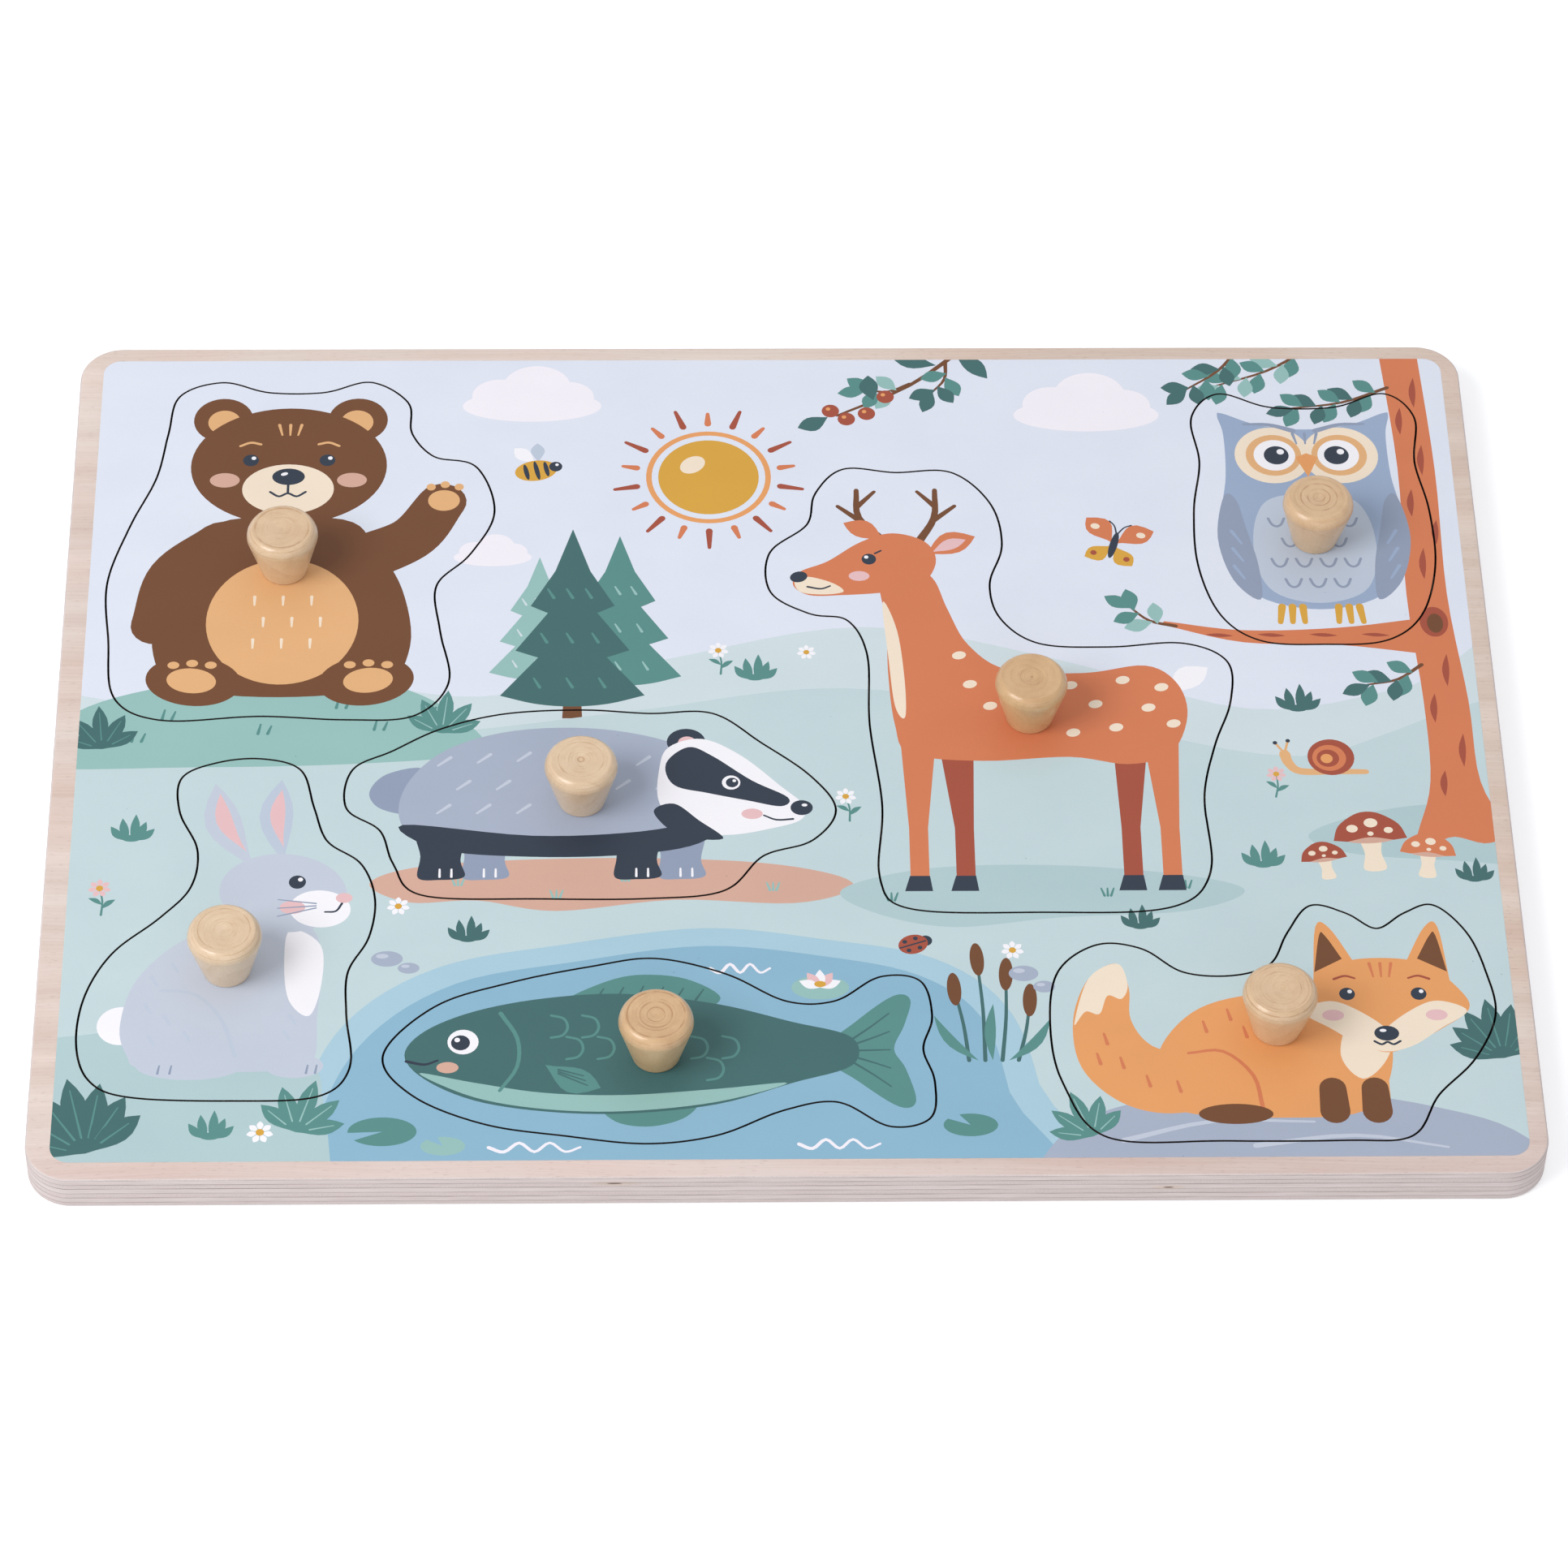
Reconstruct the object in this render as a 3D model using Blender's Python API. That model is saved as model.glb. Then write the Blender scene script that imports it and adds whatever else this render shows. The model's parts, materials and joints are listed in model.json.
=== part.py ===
"""Wooden animal puzzle: a plywood tray with seven loose animal pieces, each lifted by a turned knob.

Metres, +Z up. The origin is the middle of the tray's underside, +X runs along the long side and
+Y to the far long side.
"""

import math

import bmesh
import bpy
from mathutils import Vector
from mathutils.geometry import interpolate_bezier

# Tray: two sheets of birch plywood glued face to face
BOARD_LENGTH = 0.300
BOARD_WIDTH = 0.225
BASE_THICKNESS = 0.0028
FACE_THICKNESS = 0.0055
GLUE_LINE = 0.0003
CORNER_RADIUS = 0.009
ARRIS = 0.0005

# Fits between the pieces and the tray
KERF = 0.00045
SEAT_GAP = 0.0003

# Knob, turned with a taper and a blind pilot hole from below
KNOB_TOP_RADIUS = 0.0075
KNOB_FOOT_RADIUS = 0.0049
KNOB_HEIGHT = 0.0125
KNOB_SHOULDER_WIDTH = 0.0019
KNOB_SHOULDER_DEPTH = 0.0025
KNOB_FOOT_ROUND = 0.0004
KNOB_CROWN = 0.0045

# Countersunk wood screw that holds a knob from below
SCREW_RADIUS = 0.00145
SCREW_HEAD_RADIUS = 0.0028
SCREW_RIM = 0.0003
SCREW_SINK = 0.0003
SCREW_POINT = 0.0022
DRIVE_SPAN = 0.0032
DRIVE_BLADE = 0.0008
DRIVE_DEPTH = 0.0010
SCREW_CLEARANCE = 0.0003

# Facets
CORNER_STEPS = 10
SPAN_STEPS = 5
KNOB_SIDES = 32
SCREW_SIDES = 20
SHOULDER_STEPS = 6
FOOT_STEPS = 2

# The picture is drawn on a grid of this many units along and across the whole board
GRID_LENGTH = 300
GRID_WIDTH = 225

# Each piece: the knob's place on the grid, a colour, and the points that its loose contour runs
# through, in grid units from the knob, anticlockwise from the lower left
PIECES = {
    "bear": (
        (-104, 48),
        (0.52, 0.27, 0.15),
        [(-24, -42), (-4, -41), (14, -42), (28, -41), (35, -32), (33, -18), (32, -5), (39, 4),
         (44, 16), (40, 29), (31, 32), (26, 39), (25, 48), (17, 54), (7, 51), (-5, 51),
         (-15, 54), (-24, 50), (-26, 39), (-28, 26), (-33, 12), (-37, -4), (-36, -20), (-34, -36)],
    ),
    "deer": (
        (52, 6),
        (0.74, 0.30, 0.13),
        [(-26, -51), (0, -52), (26, -51), (35, -42), (35, -22), (38, -8), (42, 4), (42, 15),
         (33, 20), (18, 19), (3, 20), (-5, 27), (-7, 37), (-4, 48), (-6, 60), (-14, 69),
         (-26, 69), (-37, 70), (-43, 63), (-45, 54), (-53, 46), (-53, 35), (-45, 29), (-37, 27),
         (-33, 17), (-33, -2), (-31, -24), (-32, -43)],
    ),
    "fish": (
        (-26, -82),
        (0.10, 0.22, 0.21),
        [(-54, 0), (-48, -10), (-34, -17), (-18, -20), (-2, -22), (12, -20), (25, -14), (36, -12),
         (46, -18), (54, -16), (55, -7), (53, 1), (55, 9), (53, 18), (45, 19), (36, 13), (26, 13),
         (14, 20), (0, 24), (-13, 22), (-29, 18), (-44, 12)],
    ),
    "owl": (
        (115, 56),
        (0.33, 0.41, 0.55),
        [(-13, -29), (0, -30), (13, -29), (21, -22), (25, -8), (25, 8), (23, 22), (24, 35),
         (18, 42), (7, 38), (-7, 38), (-18, 42), (-24, 35), (-23, 22), (-25, 8), (-25, -8),
         (-21, -22)],
    ),
    "rabbit": (
        (-112, -60),
        (0.58, 0.62, 0.72),
        [(-18, -32), (2, -33), (19, -32), (25, -25), (24, -12), (24, -1), (28, 8), (29, 18),
         (26, 27), (19, 33), (16, 42), (13, 52), (5, 55), (-4, 54), (-11, 50), (-11, 41),
         (-7, 31), (-8, 21), (-14, 13), (-23, 4), (-28, -7), (-29, -19), (-26, -28)],
    ),
    "badger": (
        (-41, -16),
        (0.05, 0.07, 0.10),
        [(-32, -25), (-8, -26), (14, -26), (29, -24), (37, -15), (47, -11), (52, -3), (47, 6),
         (37, 15), (27, 23), (14, 23), (0, 24), (-16, 23), (-29, 19), (-39, 13), (-47, 8),
         (-48, -2), (-41, -8), (-38, -17)],
    ),
    "fox": (
        (98, -76),
        (0.86, 0.39, 0.15),
        [(-35, -27), (-12, -28), (12, -28), (25, -27), (31, -17), (39, -8), (44, 3), (43, 14),
         (40, 24), (34, 31), (28, 29), (22, 25), (16, 29), (9, 31), (4, 24), (0, 16), (-8, 13),
         (-18, 14), (-26, 20), (-35, 21), (-43, 14), (-45, 0), (-43, -14)],
    ),
}

# Heights that the sizes above fix
BASE_TOP = BASE_THICKNESS
FACE_BOTTOM = BASE_TOP + GLUE_LINE
FACE_TOP = FACE_BOTTOM + FACE_THICKNESS
PIECE_BOTTOM = BASE_TOP + SEAT_GAP
KNOB_FOOT = FACE_TOP + SEAT_GAP
PILOT_TOP = KNOB_FOOT + KNOB_HEIGHT - KNOB_CROWN
SCREW_BOTTOM = PIECE_BOTTOM + SCREW_SINK
SCREW_TOP = PILOT_TOP - SCREW_CLEARANCE


def clear_scene():
    for thing in list(bpy.data.objects):
        bpy.data.objects.remove(thing, do_unlink=True)


def make_material(name, colour, roughness, metallic=0.0):
    material = bpy.data.materials.new(name)
    material.use_nodes = True
    shader = material.node_tree.nodes["Principled BSDF"]
    shader.inputs["Base Color"].default_value = (*colour, 1.0)
    shader.inputs["Roughness"].default_value = roughness
    shader.inputs["Metallic"].default_value = metallic
    return material


def add_object(name, mesh, material=None, parent=None, place=(0.0, 0.0, 0.0)):
    thing = bpy.data.objects.new(name, mesh)
    bpy.context.scene.collection.objects.link(thing)
    thing.location = place
    thing.parent = parent
    if material is not None:
        mesh.materials.clear()
        mesh.materials.append(material)
    return thing


def cut_with(thing, cutter):
    """Cuts a hidden cutter out of a thing, with a Boolean that stays live."""
    cutter.hide_render = True
    cutter.display_type = "WIRE"
    cut = thing.modifiers.new(cutter.name, "BOOLEAN")
    cut.operation = "DIFFERENCE"
    cut.object = cutter


def on_board(point):
    """A grid point as a place on the board."""
    return Vector((point[0] * BOARD_LENGTH / GRID_LENGTH, point[1] * BOARD_WIDTH / GRID_WIDTH))


def smooth_loop(points):
    """A closed curve through the points, whose slope at each one is that of the line between its neighbours."""
    loop = []
    for i, here in enumerate(points):
        before, after, beyond = points[i - 1], points[(i + 1) % len(points)], points[(i + 2) % len(points)]
        first_handle = here + (after - before) / 6
        second_handle = after - (beyond - here) / 6
        loop += [Vector(p[:2]) for p in interpolate_bezier(
            here.to_3d(), first_handle.to_3d(), second_handle.to_3d(), after.to_3d(), SPAN_STEPS + 1)[:-1]]
    return loop


def grown(loop, distance):
    """The anticlockwise loop moved outwards by the same distance all round."""
    moved = []
    for i, here in enumerate(loop):
        along = loop[(i + 1) % len(loop)] - loop[i - 1]
        outwards = Vector((along.y, -along.x)).normalized()
        moved.append(here + outwards * distance)
    return moved


def rounded_rectangle(length, width, radius):
    loop = []
    for turn, (side_x, side_y) in enumerate([(1, 1), (-1, 1), (-1, -1), (1, -1)]):
        centre = Vector((side_x * (length / 2 - radius), side_y * (width / 2 - radius)))
        for step in range(CORNER_STEPS + 1):
            angle = math.pi / 2 * (turn + step / CORNER_STEPS)
            loop.append(centre + radius * Vector((math.cos(angle), math.sin(angle))))
    return loop


def extruded(loop, bottom, top):
    """A bmesh of the outline's sheet between two heights."""
    bm = bmesh.new()
    face = bm.faces.new([bm.verts.new((p.x, p.y, bottom)) for p in loop])
    raised = bmesh.ops.extrude_face_region(bm, geom=[face])["geom"]
    risen = [v for v in raised if isinstance(v, bmesh.types.BMVert)]
    bmesh.ops.translate(bm, verts=risen, vec=(0, 0, top - bottom))
    bmesh.ops.recalc_face_normals(bm, faces=bm.faces)
    return bm


def ease_rim(bm, height):
    """Breaks the sharp edges that lie at this height."""
    rim = [e for e in bm.edges if all(abs(v.co.z - height) < ARRIS / 10 for v in e.verts)]
    bmesh.ops.bevel(bm, geom=rim, offset=ARRIS, segments=2, profile=0.5, affect="EDGES")


def as_mesh(bm, name):
    mesh = bpy.data.meshes.new(name)
    bm.to_mesh(mesh)
    bm.free()
    mesh.shade_smooth()
    mesh.set_sharp_from_angle(angle=math.radians(35))
    return mesh


def turned(name, profile, sides):
    """A lathe-turned mesh: the profile of (radius, height) points, with both ends on the axis, spun once."""
    bm = bmesh.new()
    verts = [bm.verts.new((radius, 0, height)) for radius, height in profile]
    edges = [bm.edges.new(pair) for pair in zip(verts, verts[1:])]
    bmesh.ops.spin(
        bm, geom=verts + edges, axis=(0, 0, 1), cent=(0, 0, 0), angle=2 * math.pi, steps=sides, use_merge=True
    )
    bmesh.ops.remove_doubles(bm, verts=bm.verts, dist=1e-6)
    bmesh.ops.recalc_face_normals(bm, faces=bm.faces)
    return as_mesh(bm, name)


def quarter_round(centre_radius, centre_height, across, up, start, steps):
    """Points of a quarter of an ellipse that turns clockwise from the start angle, in degrees."""
    angles = [math.radians(start - 90 * step / steps) for step in range(steps + 1)]
    return [(centre_radius + across * math.cos(a), centre_height + up * math.sin(a)) for a in angles]


def knob_mesh():
    """Knob with its foot at the height 0: flat top, rounded shoulder, straight taper and a drilled pilot."""
    shoulder = quarter_round(
        KNOB_TOP_RADIUS - KNOB_SHOULDER_WIDTH, KNOB_HEIGHT - KNOB_SHOULDER_DEPTH,
        KNOB_SHOULDER_WIDTH, KNOB_SHOULDER_DEPTH, 90, SHOULDER_STEPS
    )
    foot = quarter_round(
        KNOB_FOOT_RADIUS - KNOB_FOOT_ROUND, KNOB_FOOT_ROUND, KNOB_FOOT_ROUND, KNOB_FOOT_ROUND, 0, FOOT_STEPS
    )
    bore = SCREW_RADIUS + SCREW_CLEARANCE
    pilot_depth = KNOB_HEIGHT - KNOB_CROWN
    pilot = [(bore, 0), (bore, pilot_depth - bore), (0, pilot_depth)]
    return turned("knob", [(0, KNOB_HEIGHT)] + shoulder + foot + pilot, KNOB_SIDES)


def screw_mesh():
    """Screw with its head's face at the height 0 and its point up."""
    length = SCREW_TOP - SCREW_BOTTOM
    cone = SCREW_HEAD_RADIUS - SCREW_RADIUS
    profile = [
        (0, 0),
        (SCREW_HEAD_RADIUS, 0),
        (SCREW_HEAD_RADIUS, SCREW_RIM),
        (SCREW_RADIUS, SCREW_RIM + cone),
        (SCREW_RADIUS, length - SCREW_POINT),
        (0, length),
    ]
    return turned("screw", profile[::-1], SCREW_SIDES)


def drive_cutter():
    """The cross recess of the screws, as a plus-shaped punch at the head's face."""
    blade, span = DRIVE_BLADE / 2, DRIVE_SPAN / 2
    quarter = [Vector((span, -blade)), Vector((span, blade)), Vector((blade, blade))]
    plus = []
    for turn in range(4):
        angle = turn * math.pi / 2
        for p in quarter:
            plus.append(Vector((p.x * math.cos(angle) - p.y * math.sin(angle),
                                p.x * math.sin(angle) + p.y * math.cos(angle))))
    return as_mesh(extruded(plus, -DRIVE_DEPTH, DRIVE_DEPTH), "drive")


def screw_hole_cutter():
    """The stepped drill that clears the screw: a countersink below and a plain hole above."""
    bore = SCREW_RADIUS + SCREW_CLEARANCE
    mouth = SCREW_HEAD_RADIUS + SCREW_CLEARANCE
    sink = SCREW_SINK + SCREW_RIM
    above = FACE_TOP - PIECE_BOTTOM + SEAT_GAP
    profile = [(0, above), (bore, above), (bore, sink + mouth - bore), (mouth, sink), (mouth, -SEAT_GAP),
               (0, -SEAT_GAP)]
    return turned("screw_hole", profile, SCREW_SIDES)


def make_base_board(material):
    bm = extruded(rounded_rectangle(BOARD_LENGTH, BOARD_WIDTH, CORNER_RADIUS), 0, BASE_TOP)
    ease_rim(bm, 0)
    add_object("base_board", as_mesh(bm, "base_board"), material)


def make_top_board(material):
    """The printed sheet, with an opening round each piece."""
    bm = extruded(rounded_rectangle(BOARD_LENGTH, BOARD_WIDTH, CORNER_RADIUS), FACE_BOTTOM, FACE_TOP)
    ease_rim(bm, FACE_TOP)
    board = add_object("top_board", as_mesh(bm, "top_board"), material)
    for animal, (place, _, points) in PIECES.items():
        opening = grown(smooth_loop([on_board(p) for p in points]), KERF)
        saw = as_mesh(extruded(opening, FACE_BOTTOM - GLUE_LINE, FACE_TOP + GLUE_LINE), "saw_" + animal)
        cut_with(board, add_object("saw_" + animal, saw, place=on_board(place).to_3d()))


def make_piece(animal, place, colour, points, shared):
    """One loose piece with its knob and screw, all on an empty at the middle of the knob."""
    lift = bpy.data.objects.new("lift_" + animal, None)
    bpy.context.scene.collection.objects.link(lift)
    lift.location = on_board(place).to_3d()

    outline = smooth_loop([on_board(p) for p in points])
    sheet = as_mesh(extruded(outline, PIECE_BOTTOM, FACE_TOP), "piece_" + animal)
    print_material = make_material("printed_" + animal, colour, 0.45)
    piece = add_object("piece_" + animal, sheet, print_material, lift)
    drill = add_object("drill_" + animal, shared["screw_hole"], parent=lift, place=(0, 0, PIECE_BOTTOM))
    cut_with(piece, drill)

    add_object("knob_" + animal, shared["knob"], shared["knob_wood"], lift, (0, 0, KNOB_FOOT))

    screw = add_object("screw_" + animal, shared["screw"], shared["steel"], lift, (0, 0, SCREW_BOTTOM))
    punch = add_object("punch_" + animal, shared["drive"], parent=lift, place=(0, 0, SCREW_BOTTOM))
    cut_with(screw, punch)


def main():
    clear_scene()
    make_base_board(make_material("birch_ply", (0.76, 0.62, 0.52), 0.55))
    make_top_board(make_material("printed_ply", (0.56, 0.69, 0.70), 0.45))
    shared = {
        "knob": knob_mesh(),
        "screw": screw_mesh(),
        "drive": drive_cutter(),
        "screw_hole": screw_hole_cutter(),
        "knob_wood": make_material("turned_beech", (0.73, 0.58, 0.37), 0.35),
        "steel": make_material("zinc_plated_steel", (0.62, 0.62, 0.60), 0.3, metallic=1.0),
    }
    for animal, (place, colour, points) in PIECES.items():
        make_piece(animal, place, colour, points, shared)


main()
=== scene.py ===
# %% [markdown]
# # A wooden animal puzzle
# This is a puzzle for small hands: a plywood tray with a printed woodland picture, seven loose
# animals sawn out of the same printed sheet by a laser, and a turned wooden knob on each animal to
# lift it by. The solid model, made first, already holds every piece at its real size and place.
# Here each one gets its finished surface. What was measured there, such as the tray's size, the
# course of the cuts and the knobs' places, is read from the model and not written a second time.

# %% Load the solid model
import json
import math

import bmesh
import bpy
from mathutils import Matrix, Vector
from mathutils.geometry import delaunay_2d_cdt, interpolate_bezier

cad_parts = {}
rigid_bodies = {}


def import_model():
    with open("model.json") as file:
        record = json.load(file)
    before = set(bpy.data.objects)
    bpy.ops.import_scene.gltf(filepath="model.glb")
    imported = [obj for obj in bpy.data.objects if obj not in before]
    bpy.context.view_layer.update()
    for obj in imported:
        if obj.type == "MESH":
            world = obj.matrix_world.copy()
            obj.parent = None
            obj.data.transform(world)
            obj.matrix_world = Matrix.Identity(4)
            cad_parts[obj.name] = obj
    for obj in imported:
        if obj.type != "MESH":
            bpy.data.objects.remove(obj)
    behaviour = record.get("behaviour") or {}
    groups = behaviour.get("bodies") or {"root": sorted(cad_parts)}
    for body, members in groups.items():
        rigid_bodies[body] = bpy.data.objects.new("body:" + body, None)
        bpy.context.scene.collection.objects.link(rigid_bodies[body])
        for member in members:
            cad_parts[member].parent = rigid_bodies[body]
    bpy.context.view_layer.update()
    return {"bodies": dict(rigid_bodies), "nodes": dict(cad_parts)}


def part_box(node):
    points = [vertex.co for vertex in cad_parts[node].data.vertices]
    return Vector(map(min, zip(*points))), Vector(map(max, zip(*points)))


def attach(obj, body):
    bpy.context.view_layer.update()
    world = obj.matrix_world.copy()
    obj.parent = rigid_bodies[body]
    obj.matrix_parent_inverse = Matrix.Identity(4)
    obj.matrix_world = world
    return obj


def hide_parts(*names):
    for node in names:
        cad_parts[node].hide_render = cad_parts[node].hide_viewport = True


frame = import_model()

MM = 0.001
ANIMALS = [body for body in frame["bodies"] if body != "tray"]
print("solids:", len(frame["nodes"]), "animals:", ", ".join(ANIMALS))

# %% [markdown]
# The tray is two sheets glued together. A loose animal stands on the lower one and ends flush with
# the upper one, so the few heights that the model gives fix everything below.

# %% Read the sizes off the solids
BOARD_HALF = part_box("top_board")[1].xy
FACE_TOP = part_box("top_board")[1].z
GLUE_JOINT = (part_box("base_board")[1].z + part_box("top_board")[0].z) / 2
PIECE_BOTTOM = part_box("piece_bear")[0].z
KNOB_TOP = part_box("knob_bear")[1].z
KNOBS = {}
for animal in ANIMALS:
    low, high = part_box("knob_" + animal)
    KNOBS[animal] = ((low + high) / 2 / MM).xy
print("tray", [round(2 * half / MM, 1) for half in BOARD_HALF], "by", round(FACE_TOP / MM, 2), "mm")

# %% [markdown]
# ## The camera
# The photograph looks down at the tray at fifty degrees, from over a metre away and through a long
# lens, so its far edge is only a little shorter than its near one. A lens, three angles and one
# distance say all of it. The camera is built from a rotation for each angle: tip it up from
# straight down, swing it round the tray, and roll it a little about its own line of sight.

# %% Place the camera
PITCH, YAW, ROLL = (math.radians(angle) for angle in (49.98, 2.08, 1.39))
TRAY_SEEN_FROM_CAMERA = Vector((-0.9, 9.2, -1321.3)) * MM
LENS, SENSOR_WIDTH = 146.4, 36

bpy.ops.object.camera_add()
camera = bpy.context.object
camera.name = "camera"
camera.data.lens = LENS
camera.data.sensor_width = SENSOR_WIDTH
tip_up = Matrix.Rotation(math.pi / 2 - PITCH, 3, "X")
aim = Matrix.Rotation(-YAW, 3, "Z") @ tip_up @ Matrix.Rotation(ROLL, 3, "Z")
place = Vector((0, 0, FACE_TOP)) - aim @ TRAY_SEEN_FROM_CAMERA
camera.matrix_world = Matrix.Translation(place) @ aim.to_4x4()
bpy.context.scene.camera = camera
print("camera at", [round(c, 3) for c in camera.location])

# %% [markdown]
# ## Short ways to write node materials
# A node material is a small network, and in Python every node and every link takes a line. A few
# helpers keep the materials readable: one adds a node and feeds its inputs, and the others are the
# nodes used most, written like functions. All patterns work in millimetres, because that is how
# one measures grain.

# %% Node helpers
def srgb(red, green, blue):
    """A colour as a picture editor gives it, in the linear values that Blender's sockets take."""
    levels = (level / 255 for level in (red, green, blue))
    return tuple(c / 12.92 if c <= 0.04045 else ((c + 0.055) / 1.055) ** 2.4 for c in levels)


def add_node(tree, kind, inputs=None, **settings):
    """Adds a node. Each input, by name or number, is given a value or the socket that feeds it."""
    node = tree.nodes.new("ShaderNode" + kind)
    for name, value in settings.items():
        setattr(node, name, value)
    feed(tree, node, inputs or {})
    return node


def feed(tree, node, inputs):
    """Gives each input its value, or the socket that feeds it."""
    for name, value in inputs.items():
        socket = node.inputs[name]
        if isinstance(value, bpy.types.NodeSocket):
            tree.links.new(value, socket)
        elif socket.type == "RGBA":
            socket.default_value = (*value, 1.0)
        else:
            socket.default_value = value


def maths(tree, operation, *values):
    """A sum on plain numbers."""
    return add_node(tree, "Math", dict(enumerate(values)), operation=operation).outputs[0]


def vector_maths(tree, operation, *values):
    """A sum on places or directions. A length comes out as a plain number."""
    outputs = add_node(tree, "VectorMath", dict(enumerate(values)), operation=operation).outputs
    return outputs["Value" if operation == "LENGTH" else "Vector"]


def spread(tree, value, low, high, to_low=0.0, to_high=1.0):
    """Moves a value from one range to another, and stops it at the ends."""
    return add_node(tree, "MapRange", {0: value, 1: low, 2: high, 3: to_low, 4: to_high}).outputs[0]


def mix(tree, amount, first, second, blend_type="MIX"):
    """Mixes two colours, the second over the first."""
    inputs = {0: amount, 6: first, 7: second}
    return add_node(tree, "Mix", inputs, data_type="RGBA", blend_type=blend_type).outputs[2]


def noise(tree, place, size, stretch=(1, 1, 1), detail=2.0):
    """Smooth noise from 0 to 1 in blotches of about this many millimetres, longer where stretched."""
    scale = [1 / (size * s) for s in stretch]
    moved = add_node(tree, "Mapping", {"Vector": place, "Scale": scale}).outputs[0]
    return add_node(tree, "TexNoise", {"Vector": moved, "Scale": 1.0, "Detail": detail}).outputs[0]


def in_millimetres(tree):
    """The place on the piece, in millimetres."""
    place = add_node(tree, "TexCoord").outputs["Object"]
    return add_node(tree, "VectorMath", {0: place, "Scale": 1 / MM}, operation="SCALE").outputs[0]


def start_group(name, inputs, outputs):
    """A new node group with these sockets: its tree, the sockets that it is fed by, and its end."""
    tree = bpy.data.node_groups.new(name, "ShaderNodeTree")
    for way, sockets in (("INPUT", inputs), ("OUTPUT", outputs)):
        for title, kind in sockets.items():
            tree.interface.new_socket(title, in_out=way, socket_type="NodeSocket" + kind)
    return tree, tree.nodes.new("NodeGroupInput").outputs, tree.nodes.new("NodeGroupOutput")


def use_group(tree, group, inputs):
    """Puts a copy of the group in this tree, and gives its outputs."""
    return add_node(tree, "Group", inputs, node_tree=group).outputs


def start_material(name, **constants):
    """A new material, with values that are the same all over set on its shader."""
    material = bpy.data.materials.new(name)
    material.use_nodes = True
    shader = material.node_tree.nodes["Principled BSDF"]
    for title, value in constants.items():
        shader.inputs[title.replace("_", " ")].default_value = value
    return material, material.node_tree, shader


def bump(tree, height, depth):
    """The normal of a surface whose height runs from 0 to 1 over this many millimetres."""
    return add_node(tree, "Bump", {"Height": height, "Distance": depth * MM}).outputs[0]


print("a mid grey of 128 is", round(srgb(128, 128, 128)[0], 3), "in linear light")

# %% [markdown]
# ## Floor and light
# The photograph has a white studio sweep, and one broad soft light from the front left that throws
# each knob's shadow to the right. A white floor could be had by pouring light on it, but that would
# bleach the puzzle too. So the lamps stay plain, and the floor glows a little for the camera and
# for reflections alone, which leaves it white and still lets the tray's soft shadow show.

# %% Make the floor
FLOOR_SIZE, FLOOR_LEVEL = 8, -0.1 * MM
GLOW_NEAR, GLOW_FAR = 0.40, 0.60   # the lamps light the floor less, further out
GLOW_FROM, GLOW_TO = 500, 1800     # millimetres from the puzzle's middle


def looked_at(tree):
    """1 for the camera's rays and for those that a shiny or clear surface sends on, 0 for light."""
    rays = add_node(tree, "LightPath").outputs
    sent_on = maths(tree, "MAXIMUM", rays["Is Glossy Ray"], rays["Is Transmission Ray"])
    return maths(tree, "MAXIMUM", rays["Is Camera Ray"], sent_on)


bpy.ops.object.select_all(action="DESELECT")
bpy.ops.mesh.primitive_plane_add(size=FLOOR_SIZE, location=(0, 0, FLOOR_LEVEL))
floor = bpy.context.object
floor.name = "studio_floor"

white, tree, shader = start_material("studio_white", Roughness=1.0)
away = vector_maths(tree, "LENGTH", in_millimetres(tree))
glow = spread(tree, away, GLOW_FROM, GLOW_TO, GLOW_NEAR, GLOW_FAR)
glow = maths(tree, "MULTIPLY", looked_at(tree), glow)
feed(tree, shader, {"Base Color": srgb(232, 232, 234), "Specular IOR Level": 0.0,
                    "Emission Color": (1, 1, 1), "Emission Strength": glow})
floor.data.materials.append(white)
print("floor at", round(floor.location.z / MM, 2), "mm")

# %% Light it
WORLD_LIGHT, WORLD_SEEN = 0.56, 1.0
world = bpy.data.worlds.new("studio")
bpy.context.scene.world = world
world.use_nodes = True
tree = world.node_tree
seen = looked_at(tree)
colour = mix(tree, seen, (0.955, 0.975, 1.0), (1, 1, 1))
strength = spread(tree, seen, 0, 1, WORLD_LIGHT, WORLD_SEEN)
feed(tree, tree.nodes["Background"], {"Color": colour, "Strength": strength})


def soft_lamp(name, place, size, level):
    """A square lamp that faces the tray and lights a surface square to it to this level of white."""
    place = Vector(place)
    facing = place.to_track_quat("Z", "Y").to_euler()
    bpy.ops.object.light_add(type="AREA", location=place, rotation=facing)
    lamp = bpy.context.object
    lamp.name = name
    lamp.data.size = size
    lamp.data.energy = level * math.pi ** 2 * place.length_squared
    return lamp


soft_lamp("key_lamp", (-0.95, -0.55, 1.15), 0.8, 0.52)
soft_lamp("fill_lamp", (0.3, 0.4, 1.6), 1.6, 0.12)
soft_lamp("front_lamp", (0.1, -1.4, 0.5), 0.9, 0.12)
bpy.context.scene.view_settings.view_transform = "Standard"

# %% [markdown]
# ## Birch plywood
# Plywood shows two faces. On the flat is a peeled veneer: broad soft bands that wander along the
# sheet, hair-thin fibres and short dark flecks. On the edge are the plies, laid crosswise in turn,
# with a thin dark glue line between each two. Both patterns serve more than one material, so each
# is a node group that takes its place and its two tones from outside.

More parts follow.
